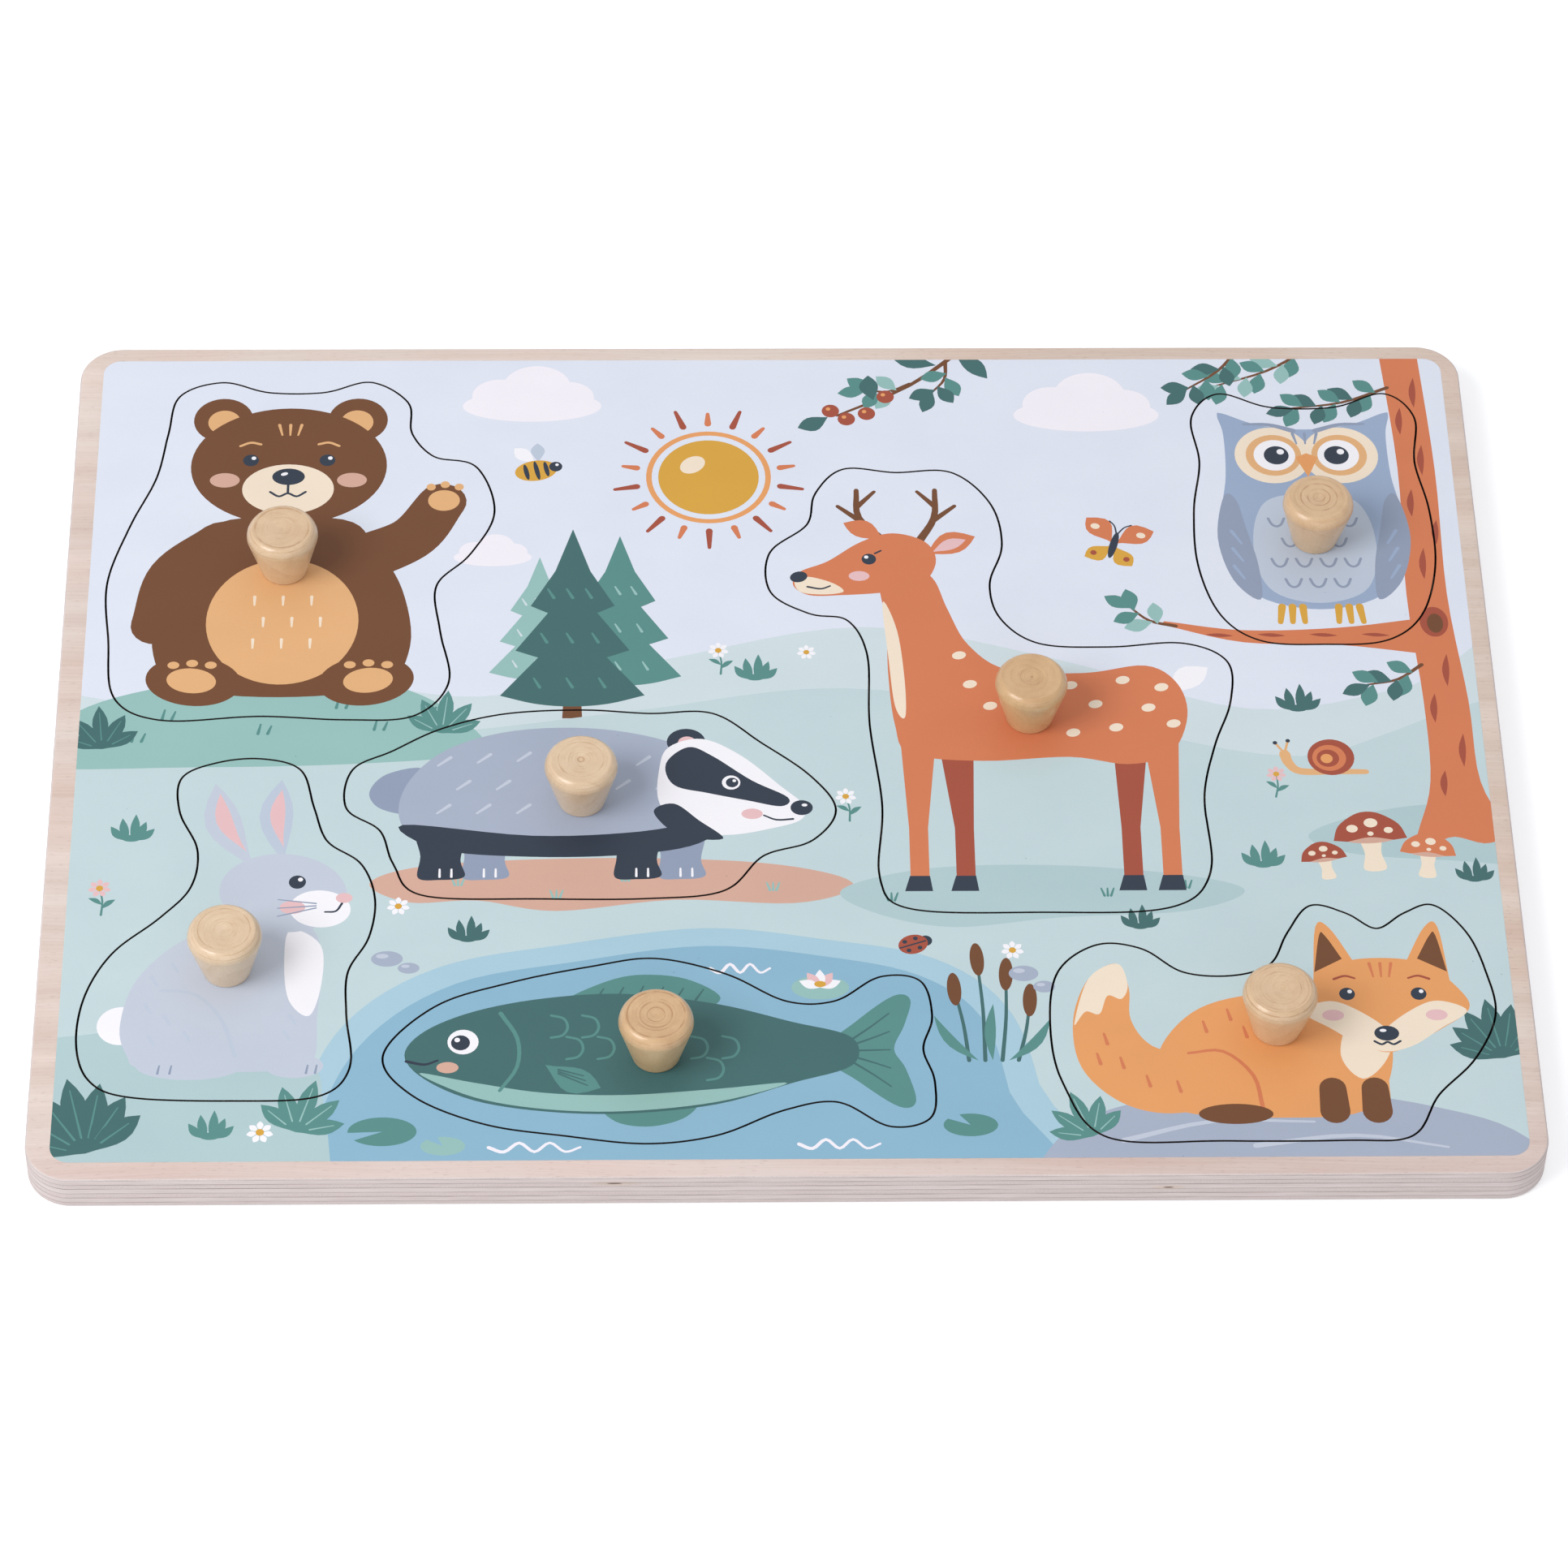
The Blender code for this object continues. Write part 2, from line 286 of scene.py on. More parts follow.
# %% The veneer's figure
veneer, given, end = start_group(
    "veneer figure", {"Place": "Vector", "Pale": "Color", "Dark": "Color", "Contrast": "Float"},
    {"Color": "Color", "Height": "Float"})
tree = veneer
sway = spread(tree, noise(tree, given["Place"], 45, (3, 1, 1)), 0.2, 0.8, -4, 4)
shift = add_node(tree, "CombineXYZ", {"Y": sway}).outputs[0]
place = vector_maths(tree, "ADD", given["Place"], shift)
broad = noise(tree, place, 9, (16, 1, 1), 3)
fibre = noise(tree, place, 0.45, (70, 1, 1), 3)
fleck = spread(tree, noise(tree, place, 0.2, (10, 1, 1), 1), 0.66, 0.74)
bands, threads = spread(tree, broad, 0.35, 0.65, 0, 0.65), spread(tree, fibre, 0.3, 0.7, 0, 0.35)
tone = maths(tree, "MULTIPLY", maths(tree, "ADD", bands, threads), given["Contrast"])
colour = mix(tree, tone, given["Pale"], given["Dark"])
colour = mix(tree, maths(tree, "MULTIPLY", fleck, 0.35), colour, given["Dark"], "MULTIPLY")
blush = spread(tree, noise(tree, place, 13, (2.5, 1, 1), 1), 0.4, 0.65)
colour = mix(tree, blush, colour, (1.0, 0.95, 0.935), "MULTIPLY")
height = maths(tree, "SUBTRACT", fibre, fleck)
feed(tree, end, {"Color": colour, "Height": height})
print(veneer.name, "has", len(tree.nodes), "nodes")

# %% The plies on the edge
# the height of each glue line in millimetres, and how dark it is
PLY_LINES = ((0.2, 0.6), (1.32, 0.7), (2.76, 0.9), (4.2, 0.7), (5.66, 1.0), (6.97, 0.8), (8.25, 0.6))
LINE_HALF = 0.17           # half the width of a glue line
RAMP_HEIGHT = 10           # the ramps run from 0 up to this height, in millimetres
PLY_TONES = (0.5, 0.55, 0.9, 0.35, 0.95, 0.3, 0.75, 0.5)   # from end grain to long grain


def ramp_node(tree, value, stops, interpolation):
    """A colour ramp from (position, level) stops, as a grey."""
    ramp = add_node(tree, "ValToRGB", {0: value})
    ramp.color_ramp.interpolation = interpolation
    elements = ramp.color_ramp.elements
    elements.remove(elements[1])
    for i, (position, level) in enumerate(stops):
        stop = elements[0] if i == 0 else elements.new(position)
        stop.position = position
        stop.color = (level, level, level, 1)
    return ramp.outputs[0]


plies, given, end = start_group(
    "plies on the edge", {"Place": "Vector", "Pale": "Color", "Dark": "Color", "Line": "Color"},
    {"Color": "Color", "Height": "Float"})
tree = plies
height = add_node(tree, "SeparateXYZ", {0: given["Place"]}).outputs["Z"]
waver = spread(tree, noise(tree, given["Place"], 7, (1, 1, 30)), 0.2, 0.8, -0.06, 0.06)
level = maths(tree, "DIVIDE", maths(tree, "ADD", height, waver), RAMP_HEIGHT)
tones, lines = [(0.0, PLY_TONES[0])], []
for (z, dark), tone in zip(PLY_LINES, PLY_TONES[1:]):
    tones.append((z / RAMP_HEIGHT, tone))
    for edge, darkness in ((z - LINE_HALF, 0), (z, dark), (z + LINE_HALF, 0)):
        lines.append((edge / RAMP_HEIGHT, darkness))
tone = ramp_node(tree, level, tones, "CONSTANT")
line = ramp_node(tree, level, lines, "LINEAR")
patchy = spread(tree, noise(tree, given["Place"], 7, (1.5, 1.5, 0.12)), 0.35, 0.65, 0.5, 1.2)
line = maths(tree, "MULTIPLY", line, patchy)
streak = noise(tree, given["Place"], 0.26, (30, 30, 1), 3)
dots = noise(tree, given["Place"], 0.3, (1, 1, 1.3), 3)
long_grain = maths(tree, "MULTIPLY", tone, streak)
end_grain = maths(tree, "MULTIPLY", maths(tree, "SUBTRACT", 1.0, tone), dots)
texture = maths(tree, "ADD", long_grain, end_grain)
shade = maths(tree, "ADD", maths(tree, "MULTIPLY", tone, 0.35), spread(tree, texture, 0.3, 0.7, 0, 0.8))
colour = mix(tree, shade, given["Dark"], given["Pale"])
colour = mix(tree, line, colour, given["Line"])
feed(tree, end, {"Color": colour, "Height": maths(tree, "SUBTRACT", texture, line)})
print(plies.name, "has", len(tree.nodes), "nodes")

# %% [markdown]
# A laser cuts by burning, so the walls of the openings and the sides of the animals are charred
# almost black, with fine upright streaks where the beam pulsed. The plies still show through the
# char as browner bands. One material serves both sides of the cut.

# %% Three plywood finishes
# where on the front edge, how high, and half the length, in millimetres
PIN_KNOTS = ((-34.3, 6.75, 1.6), (74.6, 4.6, 1.1))

birch_face, tree, shader = start_material("birch_veneer", Roughness=0.62)
place = in_millimetres(tree)
axes = add_node(tree, "SeparateXYZ", {0: place}).outputs
# the veneer is painted paler towards the back left: a painted sheen
sheen_far_left = maths(tree, "MULTIPLY", spread(tree, axes["X"], 50, -50), spread(tree, axes["Y"], 60, 108))
pale = mix(tree, sheen_far_left, srgb(227, 213, 205), srgb(236, 225, 217))
dark = mix(tree, sheen_far_left, srgb(207, 186, 175), srgb(218, 200, 189))
wood = use_group(tree, veneer, {"Place": place, "Pale": pale, "Dark": dark, "Contrast": 1.0})
# the face is a shade darker towards its front edge
darker_to_front = spread(tree, axes["Y"], -96, -112)
colour = mix(tree, darker_to_front, wood["Color"], (0.95, 0.92, 0.94), "MULTIPLY")
warmer = maths(tree, "MULTIPLY", spread(tree, axes["X"], -50, 50), spread(tree, axes["Y"], -100, -60))
colour = mix(tree, warmer, colour, (1.0, 0.975, 0.935), "MULTIPLY")
feed(tree, shader, {"Base Color": colour, "Normal": bump(tree, wood["Height"], 0.03)})

birch_edge, tree, shader = start_material("birch_plies", Roughness=0.7)
place = in_millimetres(tree)
wood = use_group(tree, plies, {"Place": place, "Pale": srgb(222, 210, 207), "Dark": srgb(196, 181, 178),
                               "Line": srgb(148, 131, 127)})
colour = wood["Color"]
for x, z, half_length in PIN_KNOTS:
    away = vector_maths(tree, "SUBTRACT", place, (x, -BOARD_HALF.y / MM, z))
    away = vector_maths(tree, "MULTIPLY", away, (1 / half_length, 0.1, 4.5))
    away = vector_maths(tree, "LENGTH", away)
    colour = mix(tree, spread(tree, away, 4.0, 1.0, 0.0, 0.7), colour, (0.95, 0.86, 0.74), "MULTIPLY")
    colour = mix(tree, spread(tree, away, 1.1, 0.7, 0.0, 0.9), colour, srgb(92, 72, 62))
feed(tree, shader, {"Base Color": colour, "Normal": bump(tree, wood["Height"], 0.05)})

laser_cut, tree, shader = start_material("laser_cut_edge", Roughness=0.85)
place = in_millimetres(tree)
wood = use_group(tree, plies, {"Place": place, "Pale": srgb(74, 50, 36), "Dark": srgb(44, 30, 23),
                               "Line": srgb(16, 11, 9)})
pulses = noise(tree, place, 0.22, (1, 1, 30), 2)
soot = noise(tree, place, 3.0, (1, 1, 2), 3)
char = maths(tree, "ADD", spread(tree, pulses, 0.3, 0.7, 0, 0.5),
             spread(tree, soot, 0.35, 0.65, 0.15, 0.6))
colour = mix(tree, char, wood["Color"], srgb(14, 11, 11))
feed(tree, shader, {"Base Color": colour, "Normal": bump(tree, pulses, 0.06)})
print("plywood finishes:", birch_face.name, birch_edge.name, laser_cut.name)

# %% [markdown]
# ## The two glued sheets
# Each sheet could be a box with a bevel, but the corners, the joint and the rim all differ. So a
# flat plane gets its four corners rounded, is drawn up to the sheet's thickness, and only then has
# its rims broken: half a millimetre at the outside, where a toddler's hand goes, and a hair at the
# glue joint, which leaves the fine groove that one sees there.

# %% Helpers for shaping a piece
SHARP_EDGE = math.radians(32)   # edges that bend less than this are shaded smooth


def only(piece):
    """Selects this piece alone and makes it the active one."""
    bpy.ops.object.select_all(action="DESELECT")
    piece.select_set(True)
    bpy.context.view_layer.objects.active = piece


def select_edges(piece, wanted):
    """In edit mode, selects the edges whose two ends both pass a test."""
    bpy.ops.mesh.select_mode(type="EDGE")
    bm = bmesh.from_edit_mesh(piece.data)
    for face in bm.faces:
        face.select = False
    for edge in bm.edges:
        edge.select = all(wanted(vert.co) for vert in edge.verts)
    bm.select_flush_mode()
    bmesh.update_edit_mesh(piece.data)


def edit(piece):
    """Goes into edit mode on this piece alone, with everything selected."""
    only(piece)
    bpy.ops.object.mode_set(mode="EDIT")
    bpy.ops.mesh.select_all(action="SELECT")


def draw_up(rise):
    """In edit mode, extrudes what is selected straight up."""
    bpy.ops.mesh.extrude_region_move(TRANSFORM_OT_translate={"value": (0, 0, rise)})


def end_edit():
    """Turns all faces outwards and leaves edit mode."""
    bpy.ops.mesh.select_all(action="SELECT")
    bpy.ops.mesh.normals_make_consistent(inside=False)
    bpy.ops.object.mode_set(mode="OBJECT")


def finish_piece(piece, body, slot, *nodes):
    """Shades the piece and lets it move with its body in place of its solids. The slot is not used."""
    only(piece)
    bpy.ops.object.transform_apply(location=True, rotation=True, scale=True)
    bpy.ops.object.shade_smooth_by_angle(angle=SHARP_EDGE)
    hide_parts(*nodes)
    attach(piece, body)


print("helpers ready")

# %% Make the backing sheet and the face sheet
CORNER, ARRIS, HAIR = 9.0 * MM, 0.5 * MM, 0.08 * MM


def rounded_sheet(name, low, high, rim, joint):
    """A sheet of the tray between two heights, with a broken rim and a hair broken at the joint."""
    bpy.ops.object.select_all(action="DESELECT")
    bpy.ops.mesh.primitive_plane_add(size=2, location=(0, 0, low))
    sheet = bpy.context.object
    sheet.name = name
    sheet.scale = (*BOARD_HALF, 1)
    bpy.ops.object.transform_apply(location=True, scale=True)
    edit(sheet)
    bpy.ops.mesh.bevel(offset=CORNER, segments=18, affect="VERTICES")
    bpy.ops.mesh.select_all(action="SELECT")
    draw_up(high - low)
    for level, width, steps in ((rim, ARRIS, 4), (joint, HAIR, 1)):
        select_edges(sheet, lambda co: abs(co.z - level) < 1e-6)
        bpy.ops.mesh.bevel(offset=width, segments=steps)
    end_edit()
    return sheet


backing = rounded_sheet("backing_sheet", 0, GLUE_JOINT, rim=0, joint=GLUE_JOINT)
face_sheet = rounded_sheet("face_sheet", GLUE_JOINT, FACE_TOP, rim=FACE_TOP, joint=GLUE_JOINT)
for sheet in (backing, face_sheet):
    sides = [round(side / MM, 2) for side in sheet.dimensions]
    print(sheet.name, sides, len(sheet.data.polygons), "faces")

# %% [markdown]
# ## The cuts
# The loose outlines were settled in the solid model, where each is a chain of short straight
# sides. Drawing them again by eye would never fit, so they are walked off the model's own faces,
# and a smooth curve is passed through their points. An opening is then sawn out of the face sheet
# by a Boolean, with a cutter of exactly its outline, and its animal is drawn up from the outline
# of the solid piece. That keeps the even gap that the laser leaves between the two.

# %% Read the outlines off the solids
def smooth(points, closed=True, steps=6):
    """A smooth line through the points, whose slope at each is that between its neighbours."""
    points = [Vector((x, y, 0)) for x, y in points]
    if not closed:
        points = [2 * points[0] - points[1]] + points + [2 * points[-1] - points[-2]]
    line = []
    for i in range(len(points) if closed else len(points) - 3):
        before, here, after, beyond = (points[(i + k) % len(points)] for k in range(4))
        handles = here + (after - before) / 6, after - (beyond - here) / 6
        line += interpolate_bezier(here, *handles, after, steps + 1)[:-1]
    if not closed:
        line.append(points[-2])
    return [(p.x, p.y) for p in line]


def area(outline):
    """The area inside, which is negative where the outline runs clockwise."""
    return sum(Vector(a).cross(Vector(b)) for a, b in zip(outline, outline[1:] + outline[:1])) / 2


def outlines(node):
    """The closed outlines round a solid's upper face, anticlockwise and in millimetres."""
    bm = bmesh.new()
    bm.from_mesh(frame["nodes"][node].data)
    bmesh.ops.remove_doubles(bm, verts=bm.verts, dist=1e-6)
    # The faces are gone through in the mesh's own order, so that each run cuts in the same way.
    for face in bm.faces:
        face.tag = face.normal.z > 0.9 and face.calc_center_median().z > FACE_TOP - 0.01 * MM
    follows = {}
    for face in bm.faces:
        for loop in face.loops:
            if face.tag and not any(other.tag for other in loop.edge.link_faces if other is not face):
                follows[loop.vert] = loop.link_loop_next.vert
    found = []
    while follows:
        start, here = follows.popitem()
        outline = [start]
        while here is not start:
            outline.append(here)
            here = follows.pop(here)
        outline = [(vert.co / MM).xy for vert in outline]
        found.append(outline if area(outline) > 0 else outline[::-1])
    bm.free()
    return found


def span(outline):
    """How far the outline reaches from left to right."""
    return max(x for x, y in outline) - min(x for x, y in outline)


SMOOTHING = 4
PIECE_OUTLINES = {}
OPENINGS = [smooth(o, steps=SMOOTHING) for o in outlines("top_board") if span(o) < BOARD_HALF.x / MM]
for animal in ANIMALS:
    PIECE_OUTLINES[animal] = smooth(max(outlines("piece_" + animal), key=span), steps=SMOOTHING)
print(len(OPENINGS), "openings;", {animal: len(o) for animal, o in PIECE_OUTLINES.items()})

# %% Saw the openings and make the animals' wooden blanks
EDGE_FINISHES = (birch_face, birch_edge, laser_cut)
SAWN_HALF_WIDTH, SAWN_HALF_DEPTH = 146.5, 109.3   # nothing further out than this was cut by the laser
FLAT = 0.92                                       # how far a flat face's normal points up or down


def flat_piece(name, points, faces, height):
    """A flat piece at this height, from points in millimetres and the faces between them."""
    mesh = bpy.data.meshes.new(name)
    mesh.from_pydata([(x * MM, y * MM, height) for x, y in points], [], faces)
    piece = bpy.data.objects.new(name, mesh)
    bpy.context.collection.objects.link(piece)
    return piece


def drawn_up(name, outline, low, high):
    """A solid that stands on this outline between two heights."""
    piece = flat_piece(name, outline, [range(len(outline))], low)
    edit(piece)
    draw_up(high - low)
    end_edit()
    return piece


def cut(piece, tool):
    """Cuts the tool out of the piece, and throws the tool away."""
    only(piece)
    boolean = piece.modifiers.new("cut", "BOOLEAN")
    boolean.operation = "DIFFERENCE"
    boolean.object = tool
    bpy.ops.object.modifier_apply(modifier="cut")
    bpy.data.objects.remove(tool)


def finish_edges(piece, is_sawn):
    """Gives flat faces the veneer, and upright ones the laser's char or the sanded plies."""
    for material in EDGE_FINISHES:
        piece.data.materials.append(material)
    for face in piece.data.polygons:
        upright = abs(face.normal.z) < FLAT
        face.material_index = 0 if not upright else 2 if is_sawn(face.center / MM) else 1


def inside_print(place):
    """Whether this place on the face sheet is away from the tray's outer edge."""
    return abs(place.x) < SAWN_HALF_WIDTH and abs(place.y) < SAWN_HALF_DEPTH


for outline in OPENINGS:
    cut(face_sheet, drawn_up("saw", outline, GLUE_JOINT - MM, FACE_TOP + MM))
finish_edges(backing, lambda place: False)
finish_edges(face_sheet, inside_print)
finish_piece(backing, "tray", "birch_plywood", "base_board")
finish_piece(face_sheet, "tray", "birch_plywood", "top_board")
print("face sheet:", len(face_sheet.data.polygons), "faces round", len(OPENINGS), "openings")

# %% [markdown]
# Each animal is screwed to its knob from below, so its blank has a hole with a countersink. The
# hole is made like on a drill press: a tool is turned on the lathe first and then cut out. The
# lathe helper draws up the rim of a filled circle from point to point of a profile, and will
# turn the knobs and the screws as well.

# %% Turn a drill, and drill the blanks
def turned(name, profile, sides):
    """Turns a solid from a profile of (radius, height) in millimetres, with flat ends."""
    bpy.ops.object.select_all(action="DESELECT")
    radius, height = profile[0]
    bpy.ops.mesh.primitive_circle_add(
        vertices=sides, radius=radius * MM, fill_type="NGON", location=(0, 0, height * MM))
    piece = bpy.context.object
    piece.name = name
    bpy.ops.object.transform_apply(location=True)
    edit(piece)
    for (radius, height), (next_radius, next_height) in zip(profile, profile[1:]):
        grow = next_radius / radius
        draw_up((next_height - height) * MM)
        bpy.ops.transform.resize(value=(grow, grow, 1), center_override=(0, 0, 0))
    end_edit()
    return piece


SEAT = PIECE_BOTTOM / MM
DRILLED_WITHIN = 4   # millimetres round the knob's axis, where a wall was drilled and isn't charred
HOLE_RADIUS, COUNTERSINK_RADIUS, SCREW_SINK, DRILL_TOP = 1.75, 3.1, 0.6, 10
blanks = {}
for animal, outline in PIECE_OUTLINES.items():
    blank = drawn_up("blank_" + animal, outline, PIECE_BOTTOM, FACE_TOP)
    drill = turned("drill", [
        (COUNTERSINK_RADIUS, SEAT - 1), (COUNTERSINK_RADIUS, SEAT + SCREW_SINK),
        (HOLE_RADIUS, SEAT + SCREW_SINK + COUNTERSINK_RADIUS - HOLE_RADIUS),
        (HOLE_RADIUS, DRILL_TOP)], 48)
    drill.location.xy = KNOBS[animal] * MM
    cut(blank, drill)
    knob = KNOBS[animal].to_3d()
    finish_edges(blank, lambda place: (place - knob).xy.length > DRILLED_WITHIN)
    finish_piece(blank, animal, "printed_" + animal, "piece_" + animal)
    blanks[animal] = blank
print("blanks:", {animal: len(blank.data.polygons) for animal, blank in blanks.items()})

# %% [markdown]
# ## The printed picture
# The print is a flat-coloured picture, so it needs no image: it is a stack of filled shapes, as
# cut out of coloured paper, each one over those before it. A small brush keeps the drawing short.
# It fills outlines, ovals, strokes and leaves in millimetres from a place on the tray, and can be
# turned, scaled or mirrored as a whole. The inks are muted, chalky blues and greens with rust,
# terracotta and mustard.

# %% Inks and a brush
INKS = {
    "sky": (225, 229, 241), "cloud": (246, 240, 247), "mist": (209, 222, 226), "mint": (196, 214, 217),
    "meadow": (178, 202, 205), "slate": (168, 177, 196), "slate_dark": (146, 157, 180),
    "slate_light": (196, 203, 217), "pond": (140, 182, 205), "shore": (170, 203, 218),
    "fir": (66, 106, 106), "teal": (88, 140, 135), "sage": (150, 190, 185), "terracotta": (214, 125, 85),
    "rust": (165, 80, 60), "orange": (232, 160, 100), "sand": (214, 170, 152), "bark": (113, 71, 44),
    "tan": (228, 176, 124), "blue_grey": (155, 172, 200), "pale_blue": (190, 200, 216),
    "charcoal": (45, 55, 70), "white": (247, 244, 248), "cream": (244, 226, 204),
    "mustard": (217, 164, 65), "pink": (232, 190, 192),
}
picture = []   # (ink, outline) in millimetres on the tray, the lowest first


def curve(points, steps=5):
    """A smooth line with two ends."""
    return smooth(points, closed=False, steps=steps)


def tally(part):
    """Says how far the picture has come."""
    print(part + ":", len(picture), "shapes so far")


class Brush:
    """Fills shapes into the picture from a place on the tray, perhaps turned or mirrored."""

    def __init__(self, x=0, y=0, size=1, turn=0, flip=False):
        self.place = Matrix.Translation((x, y, 0)) @ Matrix.Rotation(math.radians(turn), 4, "Z")
        self.place = self.place @ Matrix.Diagonal((-size if flip else size, size, 1, 1))

    def fill(self, ink, points):
        outline = [(self.place @ Vector((x, y, 0))).to_2d() for x, y in points]
        if area(outline) < 0:
            outline.reverse()
        picture.append((ink, outline))

    def blob(self, ink, points):
        self.fill(ink, smooth(points))

    def oval(self, ink, x, y, wide, high=None, tilt=0, start=0, end=360):
        """An oval of these half widths, or the slice of it between two angles."""
        high = high or wide
        steps = max(10, round(14 * math.sqrt(max(wide, high)) * (end - start) / 360))
        c, s = math.cos(math.radians(tilt)), math.sin(math.radians(tilt))
        points = []
        for i in range(steps + (end - start < 360)):
            a = math.radians(start + (end - start) * i / steps)
            across, up = wide * math.cos(a), high * math.sin(a)
            points.append((x + across * c - up * s, y + across * s + up * c))
        if 180 < end - start < 360:
            points.append((x, y))
        self.fill(ink, points)

    def line(self, ink, points, width, end=None):
        """A stroke along a smooth line, with round ends, which thins out towards the width end."""
        end = width if end is None else end
        fine = 8 if width > 3 else 4
        path = [Vector(p) for p in curve(points, fine if len(points) > 2 else 1)]
        left, right = [], []
        for i, here in enumerate(path):
            along = path[min(i + 1, len(path) - 1)] - path[max(i - 1, 0)]
            across = Vector((-along.y, along.x)).normalized()
            half = (width + (end - width) * i / (len(path) - 1)) / 2
            left.append(here + across * half)
            right.append(here - across * half)
        caps = []
        for tip, inner, half in ((path[-1], path[-2], end / 2), (path[0], path[1], width / 2)):
            out = (tip - inner).normalized()
            side = Vector((-out.y, out.x))
            turns = (0,) if half < 0.2 else (45, 0, -45) if half < 2 else range(72, -73, -18)
            angles = [math.radians(a) for a in turns]
            caps.append([tip + half * (out * math.cos(a) + side * math.sin(a)) for a in angles])
        self.fill(ink, left + caps[0] + right[::-1] + caps[1])

    def leaf(self, ink, root, tip, width, bend=0, blunt=1.0):
        """A pointed leaf, bowed to its left by bend. With blunt under 1 it is widest near its tip."""
        root, tip = Vector(root), Vector(tip)
        side = Vector((root.y - tip.y, tip.x - root.x)).normalized()
        steps = 7
        rows = range(steps + 1)
        middle = [root.lerp(tip, i / steps) + side * bend * math.sin(math.pi * i / steps) for i in rows]
        half = [width / 2 * math.sin(math.pi * (i / steps) ** (1 / blunt)) for i in rows]
        there = [m + side * h for m, h in zip(middle, half)]
        back = [m - side * h for m, h in zip(middle, half)]
        self.fill(ink, there + back[-2:0:-1])

    def eye(self, x, y, radius=1.5, look=1):
        """A dark eye with a glint, on the side that it looks to."""
        self.oval("charcoal", x, y, radius)
        self.oval("white", x + 0.35 * radius * look, y + 0.38 * radius, 0.3 * radius)


print(len(INKS), "inks")

# %% [markdown]
# ## Things that come more than once
# Ferns, flowers, fir trees, twigs and toadstools fill the land between the animals. Each is a
# function, drawn round its own foot, and takes its place, its size and its inks. So one fir can
# stand near and dark, and another far off and pale.

# %% Plants
def tuft(x, y, ink="fir", size=1.0):
    """A tuft of grass."""
    p = Brush(x, y, size)
    for tip, height in ((-4.6, 3.6), (-2, 6), (1, 7.2), (3.4, 5), (5.4, 2.9)):
        p.leaf(ink, (tip * 0.25, -0.5), (tip, height), 2.1, bend=0.3 * (-1 if tip > 0 else 1))
    p.oval(ink, 0.2, 0.1, 2.2, 1.0)


def fern(x, y, lean=0, ink="fir", vein="teal", size=1.0, blades=7):
    """A fan of broad leaves, each with a vein."""
    for i in range(blades):
        turn = lean + 62 - 124 * i / (blades - 1)
        p = Brush(x, y, size, turn)
        reach = 19 - 5 * abs(2 * i / (blades - 1) - 1)
        p.leaf(ink, (0, 0), (0, reach), 5.4, blunt=0.8)
        p.line(vein, [(0, 4), (0, reach - 3)], 0.5, 0.25)


def fir_tree(x, y, height, ink, light):
    """A fir of three skirts, with a few lighter needles on each."""
    p = Brush(x, y, height / 50)
    p.fill("bark", [(-2, -1), (2, -1), (1.6, 8), (-1.6, 8)])
    for foot, wide, top in ((5, 14.5, 30), (17, 11.5, 40), (29, 8.5, 50)):
        sag, waist = foot - 2.2, foot + 0.45 * (top - foot)
        hem = curve([
            (-wide, foot), (-wide * 0.5, sag), (0, foot - 2.9), (wide * 0.5, sag), (wide, foot)], 4)
        p.fill(ink, hem + [(wide * 0.42, waist), (0, top), (-wide * 0.42, waist)])
        for side in (-1, 0, 1):
            across = side * wide * 0.45
            p.line(light, [(across, foot + 2.2), (across - 1.2, foot + 4.6)], 0.7, 0.4)


def daisy(x, y, size=1.0, ink="white"):
    for i in range(7):
        Brush(x, y, size, 360 * i / 7).leaf(ink, (0, 0.3), (0, 3.4), 1.7, blunt=0.7)
    Brush(x, y, size).oval("mustard", 0, 0, 1.05)


def flower(x, y, size=1.0, ink="white", lean=0):
    """A daisy on its stem."""
    p = Brush(x, y, size, lean)
    p.line("teal", [(0, 0), (0.6, 5), (0, 10)], 0.7, 0.5)
    p.leaf("teal", (0.4, 2.4), (4.4, 5.4), 1.8, 0.4)
    p.leaf("teal", (0.4, 3.8), (-3.4, 6.6), 1.6, -0.4)
    top = p.place @ Vector((0, 10, 0))
    daisy(top.x, top.y, size, ink)


def mushroom(x, y, size=1.0, cap="rust", lean=0):
    p = Brush(x, y, size, lean)
    p.blob("cream", [(-2.2, -0.4), (2.4, -0.4), (1.9, 4), (2.1, 8.6), (-2.1, 8.6), (-1.7, 4)])
    p.oval("sand", 0, 8.2, 5.4, 1.3)
    dome = curve([(-8, 8), (-6.6, 12), (-3, 15), (0, 15.8), (3, 15), (6.6, 12), (8, 8)], 4)
    p.fill(cap, dome + curve([(5, 7.6), (0, 8.6), (-5, 7.6)], 4))
    for across, up, r in ((-3.6, 11.2, 1.25), (0.6, 12.6, 1.5), (4.2, 10.4, 1.0), (0.2, 9.6, 0.7)):
        p.oval("cream", across, up, r, r * 0.85)


def reeds(x, y, size=1.0):
    """Four bulrushes with their leaves."""
    p = Brush(x, y, size)
    for foot, tip, height in ((-5, -7.5, 19), (-1.6, -2.4, 27), (2, 3.6, 23), (5.4, 8.4, 16)):
        p.line("fir", [(foot, 0), ((foot + tip) / 2 + 0.4, height / 2), (tip, height)], 0.9, 0.6)
        head = Brush(x + tip * size, y + height * size, size, 3 if tip < 0 else -3)
        head.oval("bark", 0, 0, 1.5, 4.4)
    for root, tip, bend in (
            ((-3, 0), (-12, 12), 1.4), ((3.4, 0), (12.5, 11), -1.4), ((0, 0), (0.6, 15), 0.6)):
        p.leaf("teal", root, tip, 2.4, bend)


